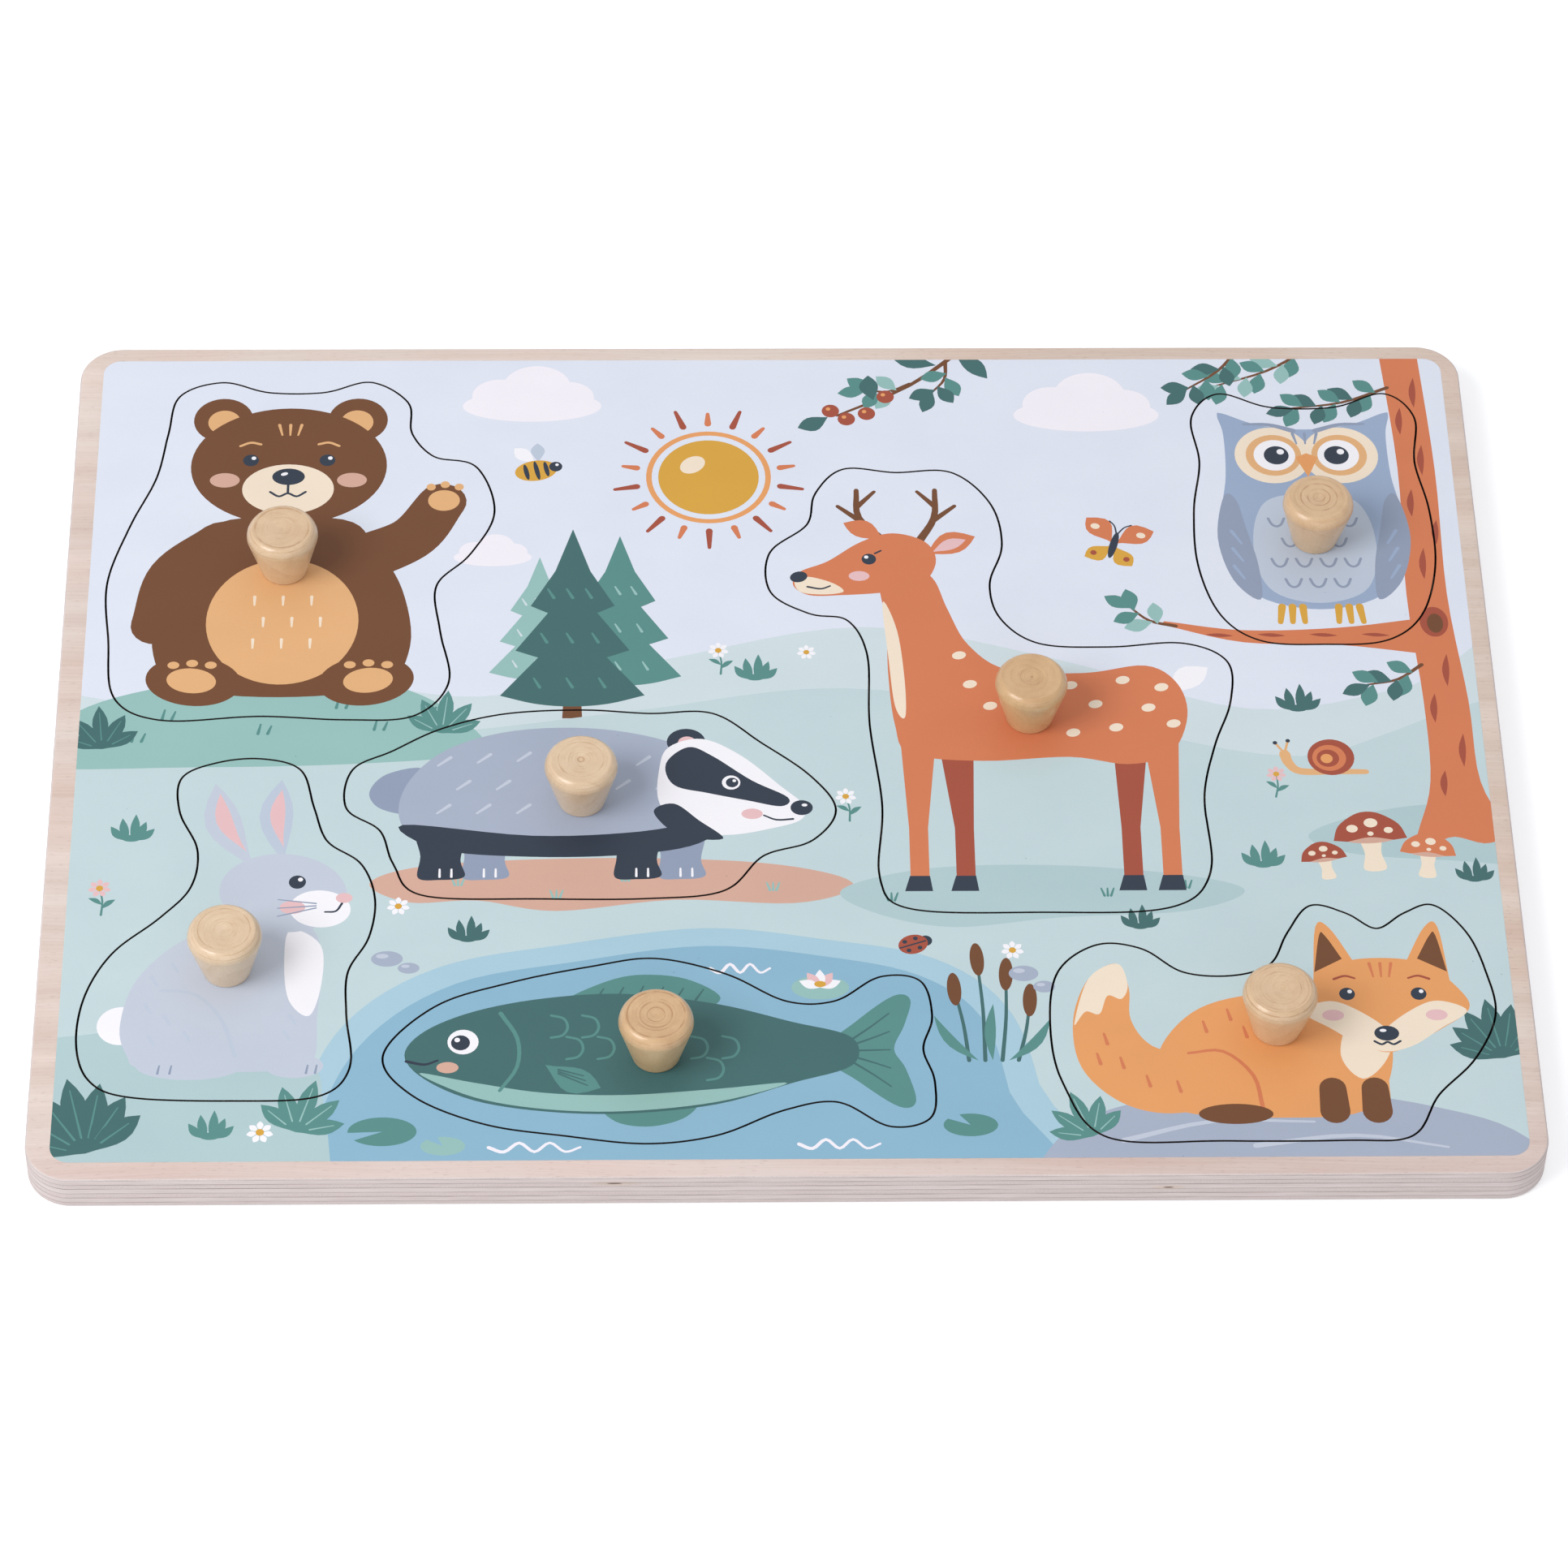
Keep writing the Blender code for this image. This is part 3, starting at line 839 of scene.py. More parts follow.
def lily_pad(x, y, wide, turn, ink, bloom=False):
    """A floating leaf with its notch, and perhaps a flower on it."""
    p = Brush(x, y, 1)
    p.oval(ink, 0, 0, wide, wide * 0.52, start=turn + 16, end=turn + 344)
    if bloom:
        for i in range(5):
            angle = math.radians(18 + 36 * i)
            tip = (4.4 * math.cos(angle), 0.4 + 4.2 * math.sin(angle))
            p.leaf("pink" if i % 2 else "white", (0, 0), tip, 2.2)
        p.oval("mustard", 0, 0.9, 1.2, 0.8)


def twig(x, y, turn, length, inks):
    """A twig with pairs of leaves, which may hang from a branch."""
    p = Brush(x, y, 1, turn)
    p.line("bark", [(0, 0), (length * 0.5, 1.4), (length, 0)], 0.9, 0.45)
    count = int(length // 4.2)
    for i in range(1, count + 1):
        along = i * length / (count + 0.3)
        lift = 1.4 * math.sin(math.pi * along / length)
        ink = inks[i % len(inks)]
        side = 1 if i % 2 else -1
        p.leaf(ink, (along, lift), (along + 4.4, lift + side * 4.6), 3.6, blunt=0.85)
        p.leaf(ink, (along - 1.2, lift), (along + 2.4, lift - side * 4.9), 3.4, blunt=0.85)
    p.leaf(inks[0], (length - 0.6, 0.2), (length + 6, 0), 3.4, blunt=0.85)


print("plants ready")

# %% Sky and small creatures
def cloud(x, y, size=1.0):
    p = Brush(x, y, size)
    for across, up, wide, high in (
            (0, 0, 15, 4.6), (-7, 3, 6, 5), (1, 5.4, 7.4, 6.6), (8, 2.6, 5.4, 4.6)):
        p.oval("cloud", across, up, wide, high)


def sun(x, y):
    p = Brush(x, y)
    for i in range(18):
        ray = Brush(x, y, 1, 360 * i / 18)
        ray.line("rust" if i % 2 else "terracotta", [(0, 15.6), (0, 20.4 if i % 2 else 18.6)], 1.5, 0.8)
    p.oval("orange", 0, 0, 13.4)
    p.oval("sky", 0, 0, 12.2)
    p.oval("mustard", 0, 0, 10.8)
    p.oval("cream", -3.4, 3.6, 3.0, 2.2, 40)


def ripple(x, y, wide):
    """A little wave line of three arcs."""
    p = Brush(x, y)
    step = wide / 6
    points = [(step * (i - 3), 1.1 * (1 - (i % 2) * 2) * (i not in (0, 6))) for i in range(7)]
    p.line("cloud", points, 0.8, 0.5)


def butterfly(x, y, turn=0, size=1.0):
    p = Brush(x, y, size, turn)
    for side in (-1, 1):
        p.leaf("terracotta", (0.4 * side, 0.6), (7.4 * side, 6.2), 5.6, 0.6 * side, 0.75)
        p.leaf("mustard", (0.4 * side, -0.2), (5.2 * side, -4.8), 4.4, -0.5 * side, 0.75)
        p.oval("cream", 5.0 * side, 4.3, 1.0, 0.8)
        p.oval("rust", 3.6 * side, -3.2, 0.7)
        p.line("charcoal", [(0, 3), (1.0 * side, 5.4), (2.4 * side, 6.6)], 0.35)
    p.oval("charcoal", 0, 0, 0.85, 3.8)


def bee(x, y, flip=False, size=1.0):
    p = Brush(x, y, size, 12, flip)
    p.leaf("white", (0.4, 2.0), (-3.4, 7.8), 3.6, blunt=0.7)
    p.leaf("pale_blue", (1.0, 2.2), (2.0, 8.2), 3.2, blunt=0.7)
    p.oval("mustard", 0, 0, 4.8, 3.1)
    for across, high in ((-2.2, 2.4), (0.2, 2.9), (2.4, 2.3)):
        p.oval("charcoal", across, 0, 0.55, high)
    p.oval("charcoal", 4.6, 0.3, 1.5)
    p.oval("white", 5.0, 0.8, 0.4)


def ladybird(x, y, turn=0, size=1.0):
    p = Brush(x, y, size, turn)
    p.oval("charcoal", 3.0, 0, 1.5)
    p.oval("rust", 0, 0, 3.4, 2.7)
    p.line("charcoal", [(-3.2, 0), (3.0, 0)], 0.4)
    for across, up in ((-1.5, 1.3), (1.1, 1.4), (-1.5, -1.3), (1.1, -1.4)):
        p.oval("charcoal", across, up, 0.55)


def snail(x, y, flip=False, size=1.0):
    p = Brush(x, y, size, 0, flip)
    p.line("tan", [(-9, 0.8), (-2, 0.9), (6, 1.0), (8.6, 3.4), (9.4, 6.2)], 1.4, 2.6)
    for tip in ((8.4, 10.2), (11.4, 9.6)):
        p.line("tan", [(9.4, 6.4), tip], 0.6)
        p.oval("charcoal", *tip, 0.55)
    p.oval("rust", -1.2, 5.2, 5.4)
    p.oval("terracotta", -0.8, 5.0, 3.9)
    p.oval("rust", -0.5, 4.9, 2.6)
    p.oval("orange", -0.2, 4.8, 1.4)


print("creatures ready")

# %% [markdown]
# ## The land
# The picture is laid from the back to the front: the sky, two rows of hills and a mound, the
# tree at the right with the branch that the owl sits on, the pond, and last what grows on the
# ground. Wide, quiet areas lie under the animals, so that each one stands out.

# %% Sky, hills and firs
p = Brush()
p.fill("sky", [(-152, -115), (152, -115), (152, 115), (-152, 115)])
sun(-14, 74)
for place in ((-52, 95, 1.0), (68, 92, 1.05), (-60, 51, 0.55)):
    cloud(*place)
p.blob("mist", [
    (-160, 0), (-128, 10), (-96, 17), (-62, 12), (-24, 22), (18, 31), (58, 22), (98, 8), (132, 14),
    (165, 24), (168, -130), (-168, -130)])
fir_tree(-50, 15, 36, "sage", "mist")
fir_tree(-33, 13, 44, "teal", "sage")
fir_tree(-43, 7, 52, "fir", "teal")
p.blob("mint", [
    (-165, -4), (-122, 3), (-74, 2), (-30, 8), (14, 14), (64, 5), (108, -5), (165, 4), (168, -130),
    (-168, -130)])
p.blob("sage", [
    (-158, -6), (-146, 8), (-128, 15), (-104, 19), (-80, 15), (-66, 6), (-62, -3), (-84, -6), (-120, -7)])
for x, y in ((-128, 6), (-118, 11), (-92, 9), (-84, 3), (-74, 7), (-134, 0), (-108, 2)):
    p.line("teal", [(x, y), (x + 0.5, y + 2.6)], 0.7, 0.4)
    p.line("teal", [(x + 2.0, y), (x + 2.7, y + 2.1)], 0.7, 0.4)

tally("land")

# %% The tree
p = Brush()
p.blob("meadow", [(108, -26), (122, -20), (140, -18), (160, -22), (160, -34), (136, -33), (116, -31)])
left = curve([(130.4, -26), (134.2, -12), (134.6, 10), (133.4, 40), (134.4, 76), (132.6, 116)])
right = curve([(141, 116), (142.4, 76), (142.0, 40), (144.0, 10), (144.6, -12), (150, -26)])
foot = curve([(149, -27), (144, -28.6), (138, -26.8), (133.4, -28.4), (130.4, -26.6)], 4)
p.fill("terracotta", left + right + foot)
below = curve([(136, 23), (118, 25.6), (98, 26.4), (81, 31.4)])
above = curve([(81.6, 32.4), (98, 29.8), (118, 30.4), (136, 33)])
p.fill("terracotta", below + above)
for x, y, high in (
        (137, -16, 7), (141.6, -8, 9), (136.6, 4, 8), (140, 14, 9), (137.6, 44, 9), (141, 54, 7),
        (136.4, 62, 8), (139.6, 74, 9), (135.8, 86, 8), (139.4, 94, 9)):
    p.leaf("rust", (x, y), (x + 0.5, y + high), 1.5, 0.3)
p.oval("rust", 138.6, 32, 3.0, 4.2)
p.oval("bark", 138.8, 31.6, 1.7, 2.7)
for x in (90, 101, 112, 123):
    p.leaf("rust", (x, 28.6), (x + 6, 28.2), 1.0)
leaves = ("fir", "teal")
twig(84, 31, 150, 11, ("teal", "sage"))
twig(135, 20, 205, 13, leaves)
twig(134, 100, 196, 22, leaves)
twig(118, 112, 208, 24, ("sage", "teal"))
twig(103, 113, 226, 19, leaves)

tally("tree")

# %% The pond
p = Brush()
p.blob("shore", [
    (-102, -125), (-97, -96), (-88, -74), (-70, -60), (-44, -54), (-16, -50), (8, -53), (30, -58),
    (44, -70), (50, -90), (54, -125)])
p.blob("pond", [
    (-96, -125), (-92, -96), (-83, -77), (-66, -64), (-42, -58.5), (-16, -54.6), (8, -57.4), (27, -62.4),
    (39, -73), (44, -92), (48, -125)])
for x, y, wide in ((10, -104.5, 16), (-50, -105, 18), (-9, -60.4, 12)):
    ripple(x, y, wide)
lily_pad(7, -65.4, 5.8, 60, "sage", bloom=True)
lily_pad(-80, -101, 6.8, 200, "teal")
lily_pad(-68, -104.6, 4.4, 120, "sage")
lily_pad(36, -100, 5.4, 130, "teal")
reeds(41, -84, 0.95)
for x, y, wide, high in (
        (-80, -57.6, 3.2, 2.0), (-75.6, -60, 2.2, 1.4), (48, -62, 3.0, 2.0), (52, -65.4, 2.2, 1.5)):
    p.oval("slate", x, y, wide, high)
    p.oval("slate_light", x - 0.3 * wide, y + 0.35 * high, 0.4 * wide, 0.3 * high)

tally("pond")

# %% Paths, ferns and flowers
p = Brush()
p.blob("slate", [
    (44, -125), (50, -108), (60, -98), (78, -93), (104, -92), (128, -96), (146, -104), (160, -125)])
for points in ([(66, -104), (84, -99.4), (104, -99.6)], [(92, -105.4), (112, -103), (130, -106)]):
    p.line("slate_light", points, 1.2, 0.5)
p.blob("sand", [
    (-84, -38), (-72, -33.4), (-40, -31.6), (-8, -32.6), (10, -36), (14, -40), (2, -43.6), (-22, -42.6),
    (-46, -45.4), (-62, -42.6), (-76, -43)])
p.blob("meadow", [
    (12, -40), (30, -34.6), (58, -34), (84, -37), (94, -41), (82, -46), (56, -47.6), (34, -50),
    (18, -46)])
p.blob("meadow", [
    (-156, -84), (-136, -76), (-112, -74), (-98, -79), (-92, -92), (-96, -125), (-156, -125)])
for x, y in (
        (-66, -38.6), (-46, -42), (-20, -36.2), (-2, -40.2), (-32, -37.6), (22, -43), (38, -39.4),
        (66, -42), (82, -40)):
    ink = "sage" if x < 15 else "teal"
    for lean in (-1.3, 0, 1.3):
        p.line(ink, [(x + 0.5 * lean, y), (x + lean, y + 2.0)], 0.55, 0.35)
fern(-138, -106, 14, "fir", "teal", 1.0)
fern(-97, -101, -16, "teal", "sage", 0.7, 5)
fern(-140, -2, 6, "fir", "teal", 0.62, 5)
fern(-70, 2, -6, "teal", "sage", 0.62, 5)
fern(143, -84, 10, "fir", "teal", 0.8)
fern(60, -103, 20, "teal", "sage", 0.62, 5)
for x, y, ink, size in (
        (-114, -102, "teal", 0.9), (-64, -52.6, "fir", 0.85), (-5, 17, "teal", 0.9),
        (108, 8, "fir", 0.95), (-133, -26, "teal", 0.9), (98, -34, "teal", 0.9), (141, -38, "fir", 0.8),
        (72, -50, "fir", 0.8)):
    tuft(x, y, ink, size)
mushroom(121, -35, 0.95, "rust", 3)
mushroom(131.5, -37, 0.72, "terracotta", -6)
mushroom(111.4, -37.4, 0.6, "rust", 8)
snail(113, -10, True, 0.9)
flower(14, -22, 0.66, "white", 6)
flower(-12, 18, 0.66, "white", 4)
flower(-138, -46, 0.7, "pink", 5)
flower(102, -16, 0.62, "pink", -4)
for x, y, size in ((-104, -101, 0.8), (-78, -44, 0.7), (6, 24, 0.6), (46, -56, 0.7)):
    daisy(x, y, size)
ladybird(26, -54.4, 20, 0.9)
butterfly(72, 54, -16, 1.0)
bee(-51, 76, False, 0.95)
hanging = Brush()
hanging.line("bark", [(44, 114), (30, 101), (14, 92)], 1.2, 0.6)
for x, y, turn, inks in ((38, 108, 250, ("fir", "teal")), (30, 101.4, 190, ("teal", "sage"))):
    twig(x, y, turn, 10, inks)
for x, y in ((16, 91), (20.4, 92.6), (12.6, 93.4), (24.6, 97.6)):
    hanging.oval("rust", x, y, 1.9)
    hanging.oval("orange", x - 0.5, y + 0.6, 0.5)
for root, tip in (
        ((40, 111), (47, 103)), ((36, 107), (26, 110)), ((22, 96.6), (21, 104)),
        ((12, 91.6), (5.4, 88.4))):
    hanging.leaf("fir", root, tip, 4.2, 0.4, 0.85)

tally("ground")

# %% [markdown]
# ## The seven animals
# Each animal is drawn round its own knob, whose place comes from the solid model. The brush is
# set down there, so a drawing always stays on its piece. The bear sits on the mound and waves.
# Its face is kept well above the knob, which would hide it from where the camera stands.

# %% Draw the bear
p = Brush(*KNOBS["bear"])
for side in (-1, 1):
    p.oval("bark", 14.5 * side, 43, 6.4)
    p.oval("tan", 14.3 * side, 42.4, 3.5)
p.blob("bark", [
    (-21, -33), (0, -36), (21, -33), (27, -22), (25, -6), (19, 6), (12, 14), (-12, 14), (-19, 6),
    (-25, -6), (-27, -22)])
p.line("bark", [(17, 3), (27, 9), (33, 19)], 13, 10.5)
p.line("bark", [(-13, 7), (-23, -2), (-26.5, -16)], 13, 10.5)
p.oval("tan", 0, -15, 16, 17.5)
for side in (-1, 1):
    p.oval("bark", 18 * side, -31.5, 10, 6.8, 8 * side)
    p.oval("tan", 18.4 * side, -31.4, 5.2, 3.4, 8 * side)
    for toe in (-1, 0, 1):
        p.oval("tan", (18.4 + 3.9 * toe) * side, -26.6 - 0.5 * abs(toe), 1.25, 1.0)
p.oval("tan", 33.4, 19.4, 3.4, 3.0)
for toe in (-1, 0, 1):
    p.oval("tan", 33.6 + 3.0 * toe, 24.0 - 0.7 * abs(toe), 1.0)
p.oval("bark", 0, 29.5, 21, 17)
p.oval("cream", 0, 22.8, 9.8, 7.2)
p.oval("charcoal", 0, 26.4, 3.5, 2.4)
p.oval("white", -0.9, 27.2, 0.8, 0.45, 20)
p.line("charcoal", [(0, 24.4), (0, 21.8)], 0.55)
p.line("charcoal", [(-3.8, 22.0), (-1.9, 20.7), (0, 21.6), (1.9, 20.7), (3.8, 22.0)], 0.55)
for side in (-1, 1):
    p.eye(8.2 * side, 31.2, 1.7)
    p.oval("sand", 13.6 * side, 25.4, 3.2, 2.1)
    p.line("tan", [(10.6 * side, 35.4), (8.4 * side, 36.4), (6.2 * side, 35.9)], 0.6)
for i in range(3):
    p.line("tan", [(-2.4 + 2.4 * i, 41.6), (-1.7 + 1.7 * i, 38.6)], 0.7, 0.4)
for i in range(9):
    row, column = divmod(i, 3)
    x = -6 + 6 * column + 2 * (row % 2)
    p.line("cream", [(x, -8 - 6 * row), (x, -10.4 - 6 * row)], 0.7, 0.4)

tally("bear")

# %% [markdown]
# The deer stands with all four legs in view, the far two darker than the near two.

# %% Draw the deer
p = Brush(*KNOBS["deer"])
for x, sway, shade in (
        (-15.6, 1.0, "rust"), (20.6, -1.0, "rust"), (-23.4, -0.6, "terracotta"), (27, 0.6, "terracotta")):
    p.fill(shade, [
        (x - 3.6, -6), (x + 3.8, -6), (x + 2.0 + sway, -30), (x + 1.9 + sway, -46), (x - 2.0 + sway, -46),
        (x - 1.9 + sway, -30)])
    p.fill("charcoal", [
        (x - 2.1 + sway, -42.6), (x + 2.0 + sway, -42.6), (x + 2.5 + sway, -46.6),
        (x - 3.2 + sway, -46.6)])
p.leaf("white", (29.6, 6), (38, 13.4), 6.0, 0.8, 0.8)
p.blob("terracotta", [
    (-25, -10), (-10, -12), (8, -11), (20, -13), (29, -10), (33, 0), (31.4, 9), (25, 14), (12, 12),
    (-4, 13), (-12, 20), (-16, 30), (-19, 39), (-25, 42), (-30, 38), (-29, 26), (-29, 12), (-28, -2)])
p.blob("cream", [(-29.6, 32), (-26.8, 24), (-25.6, 10), (-25.8, 0), (-27.8, 3), (-28.8, 16)])
for side in (1, -1):
    p.line("bark", [(-25 + 3.5 * side, 49), (-26 + 8 * side, 56), (-26 + 8.4 * side, 64)], 1.9, 1.1)
    p.line("bark", [(-26 + 7.6 * side, 55), (-26 + 12.5 * side, 59.4)], 1.4, 0.9)
    p.line("bark", [(-26 + 8.2 * side, 59.4), (-26 + 4.6 * side, 63.6)], 1.3, 0.8)
p.leaf("terracotta", (-20, 45.5), (-9.4, 50.6), 6.2, 0.6, 0.85)
p.leaf("pink", (-18.6, 46.2), (-11.4, 49.7), 3.0, 0.3, 0.85)
p.blob("terracotta", [
    (-18, 43), (-20, 49), (-27, 51.6), (-34, 49), (-41, 43.6), (-47, 40.6), (-48.4, 36.8), (-45, 34),
    (-38, 34), (-30, 34.6), (-22, 36)])
p.leaf("terracotta", (-29, 49.8), (-37.4, 54.6), 5.0, -0.5, 0.85)
p.blob("cream", [(-48, 38.4), (-45, 39.2), (-40, 37.4), (-37.8, 35.0), (-42, 34.2), (-47, 35.0)])
p.oval("charcoal", -47.2, 39.2, 1.9, 1.5, 20)
p.line("charcoal", [(-45.4, 36.4), (-42.6, 35.8), (-40.6, 36.6)], 0.5, 0.4)
p.eye(-32.2, 44.2, 1.55, -1)
p.line("charcoal", [(-30.9, 45.8), (-29.6, 46.6)], 0.45)
p.oval("pink", -34.4, 39.4, 2.2, 1.4)
for x, y in (
        (-2, 8), (9, 8.6), (20, 10), (28, 8), (14, 3.4), (25, 2.4), (30, -2), (18, -3), (-12, 9), (-8, 3),
        (9, -4.4), (-14, 17)):
    p.oval("cream", x, y, 1.5, 1.1, 15)

tally("deer")

# %% [markdown]
# The fish has rows of scales, left out where the knob would cover them.

# %% Draw the fish
p = Brush(*KNOBS["fish"])
p.blob("teal", [
    (33, 0), (40, -7), (48, -13.4), (51.4, -12), (49.6, -4), (47.4, 1), (49.6, 7), (51, 13.4),
    (47.6, 14.4), (40, 8)])
for i in range(5):
    fan = i - 2
    p.line("fir", [(39, 0.6 + 1.4 * fan), (43, 0.7 + 3.0 * fan), (46.6, 0.8 + 4.6 * fan)], 0.5, 0.3)
p.blob("teal", [(-18, 13), (-12, 17.4), (-4, 20), (6, 19), (13, 14), (6, 10), (-8, 11)])
for i in range(6):
    p.line("fir", [(-12 + 4 * i, 13.6), (-10.4 + 4 * i, 17.2 - 0.3 * abs(i - 2))], 0.5, 0.3)
p.blob("teal", [(-11, -12), (-8, -16.8), (-1, -18), (6, -15.6), (8, -11), (-2, -9)])
p.blob("fir", [
    (-50, 0), (-46, -6), (-36, -11.4), (-22, -14.2), (-6, -14.8), (12, -12.6), (27, -7.4), (39, -3),
    (39, 4), (27, 8), (12, 12.6), (-6, 15.2), (-22, 14.2), (-36, 11), (-46, 6)])
p.blob("sage", [
    (-47, -4.6), (-36, -10.6), (-22, -13.6), (-6, -14.2), (12, -12), (26, -7.4), (12, -8.8), (-6, -10.2),
    (-22, -9.6), (-36, -7)])
p.line("teal", [(-31, 10.4), (-27.6, 4), (-27.6, -3), (-31, -9)], 0.9, 0.7)
for row in range(3):
    for column in range(9 - row % 2):
        x, y = -19 + 6.2 * column + 3.1 * (row % 2), 7.6 - 5.4 * row
        if abs(y) < 11.4 - 0.014 * (x + 8) ** 2 and (abs(x) > 8 or y < -6) and (row < 2 or x > 0):
            p.line("teal", [
                (x - 1.9, y + 2.2), (x + 0.6, y + 1.4), (x + 1.4, y - 0.8), (x + 0.4, y - 2.8),
                (x - 1.9, y - 3.4)], 0.55)
p.leaf("teal", (-22, -2.6), (-11, -8.4), 6.4, -0.8, 0.8)
for i in range(3):
    p.line("fir", [(-19.4, -3.8 - 0.5 * i), (-14.4 + 0.4 * i, -5.4 - 1.2 * i)], 0.45, 0.3)
p.oval("white", -38.4, 3.2, 3.1)
p.eye(-38.9, 3.0, 1.9, -1)
p.line("charcoal", [(-49.6, -1.6), (-46, -2.4), (-43.4, -1.4)], 0.7, 0.5)
p.oval("sand", -41.4, -3.2, 2.2, 1.4)

tally("fish")

# %% [markdown]
# The owl is nearly symmetrical, so most of it is drawn in a loop over its two sides.

# %% Draw the owl
p = Brush(*KNOBS["owl"])
p.blob("blue_grey", [
    (-17.6, 30), (-18.6, 35.6), (-17.4, 36.4), (-10, 33), (0, 31.6), (10, 33), (17.4, 36.4), (18.6, 35.6),
    (17.6, 30), (17.8, 18), (19.4, 6), (18.4, -6), (13, -16.6), (0, -20.4), (-13, -16.6), (-18.4, -6),
    (-19.4, 6), (-17.8, 18)])
p.blob("pale_blue", [
    (0, -18.6), (9.6, -15.4), (13, -6), (12, 6), (7, 12), (-7, 12), (-12, 6), (-13, -6), (-9.6, -15.4)])
for row in range(4):
    for column in range(4 - row % 2):
        x, y = -7.8 + 5.2 * column + 2.6 * (row % 2), 5.6 - 5.8 * row
        if row < 3 or abs(x) < 6:
            p.line("slate_dark", [
                (x - 1.7, y), (x - 1.0, y - 1.7), (x, y - 2.3), (x + 1.0, y - 1.7), (x + 1.7, y)], 0.6)
wing = ((18.6, 12), (20.6, 0), (18, -12), (12.6, -17.6), (12.4, -8), (14.4, 3), (16.0, 11))
for side in (-1, 1):
    p.blob("slate_dark", [(x * side, y) for x, y in wing])
    for i in range(3):
        p.line("blue_grey", [(17.6 * side, 2 - 5 * i), (15.6 * side, -1.6 - 5 * i)], 0.8, 0.5)
    p.oval("cream", 7.3 * side, 24, 8.2)
    p.oval("tan", 7.1 * side, 24, 6.0)
    p.oval("white", 6.9 * side, 24, 4.5)
    p.eye(6.5 * side, 24, 2.7)
    p.line("slate_dark", [(2.4 * side, 31.2), (7.6 * side, 33.0), (13.0 * side, 33.2)], 1.3, 0.6)
    for toe in (-1, 0, 1):
        p.line("mustard", [((6 + 2.2 * toe) * side, -19.6), ((6.2 + 2.6 * toe) * side, -24.0)], 1.7, 1.2)
p.fill("orange", [(-2.4, 23.4), (0, 17.6), (2.4, 23.4), (0, 24.6)])
for i in range(3):
    p.line("slate_dark", [(-2.6 + 2.6 * i, 30.4), (-1.9 + 1.9 * i, 27.4)], 0.7, 0.4)

tally("owl")

# %% [markdown]
# The rabbit sits in profile. Its ears point up, clear of the knob on its shoulder.

# %% Draw the rabbit
p = Brush(*KNOBS["rabbit"])
for root, tip, bend, wide in (((10.6, 27), (9.4, 49.6), 1.4, 7.0), ((4.6, 26), (-4.2, 48.6), 2.0, 7.6)):
    p.leaf("pale_blue" if wide < 7.2 else "slate_light", root, tip, wide, bend, 0.8)
    inner = [root[0] * 0.8 + tip[0] * 0.2, root[1] * 0.8 + tip[1] * 0.2]
    p.leaf("pink", inner, [root[k] * 0.12 + tip[k] * 0.88 for k in (0, 1)], wide * 0.45, bend * 0.8, 0.8)
p.oval("white", -20.6, -14.4, 4.8)
p.blob("slate_light", [
    (-16, -25), (0, -26), (12, -25.6), (18, -23), (18.4, -12), (19, 0), (17, 10), (8, 16), (-3, 11),
    (-12, 5), (-18.6, -4), (-20.8, -15), (-19, -22)])
p.blob("white", [(12.4, 10), (18.6, 6), (19.0, -4), (16.8, -12), (12.6, -8), (11.4, 2)])
p.line("pale_blue", [(2.4, -22), (-0.6, -13), (-6, -6.6), (-13, -5.4)], 0.9, 0.6)
p.oval("slate_light", -6.6, -24.4, 10.6, 3.6)
p.oval("slate_light", 14.2, -24.6, 5.8, 3.0)
for x in (-12.8, -10.4, 16.6, 18.4):
    p.line("slate_dark", [(x, -26.4), (x + 0.3, -24.4)], 0.5, 0.35)
p.oval("slate_light", 10.6, 19.6, 13.0, 10.2, -8)
p.oval("white", 18.2, 15.4, 6.2, 4.8, -6)
p.oval("pink", 23.0, 18.2, 1.7, 1.3)
p.line("charcoal", [(22.6, 16.8), (21.4, 14.8), (19.2, 14.6)], 0.5, 0.4)
p.eye(13.4, 22.4, 1.75)
p.oval("pink", 12.6, 15.8, 2.6, 1.7)
for rise in (-1.4, 0, 1.5):
    p.line("slate_dark", [(17.4, 16.2 + 0.4 * rise), (9.6, 15.6 + 1.5 * rise)], 0.35, 0.25)
for x, y in ((-15, -2), (-11, 1.4), (-16, -9), (-12, -12), (-8, -16), (-15, -17), (12, -16), (13, -12)):
    p.line("pale_blue", [(x, y), (x + 1.2, y - 2.2)], 0.8, 0.5)

tally("rabbit")

# %% [markdown]
# The badger carries its head low, with the dark stripe through its eye.

# %% Draw the badger
p = Brush(*KNOBS["badger"])
p.blob("slate_dark", [(-32, 8), (-40, 7), (-43.6, 2), (-41, -2.4), (-34, -3)])
for x, shade in ((-20, "slate_dark"), (20, "slate_dark"), (-29, "charcoal"), (11, "charcoal")):
    p.blob(shade, [
        (x - 4.4, -8), (x + 4.8, -8), (x + 4.4, -16), (x + 5.2, -20.4), (x, -21.2), (x - 4.2, -20.6),
        (x - 3.8, -15)])
    for toe in (-0.6, 1.8):
        p.line("white", [(x + toe + 0.8, -20.4), (x + toe + 0.8, -18.4)], 0.5, 0.4)
p.blob("slate", [
    (-36, 4), (-37, -6), (-30, -12.6), (-10, -14.6), (10, -14), (24, -11), (31, -4), (30, 6), (20, 14.6),
    (4, 19), (-14, 18.6), (-28, 13.4)])
p.blob("charcoal", [
    (-36.6, -6.6), (-29, -13.2), (-10, -15.2), (10, -14.7), (24, -11.8), (30, -5), (12, -8.6),
    (-10, -9.6)])
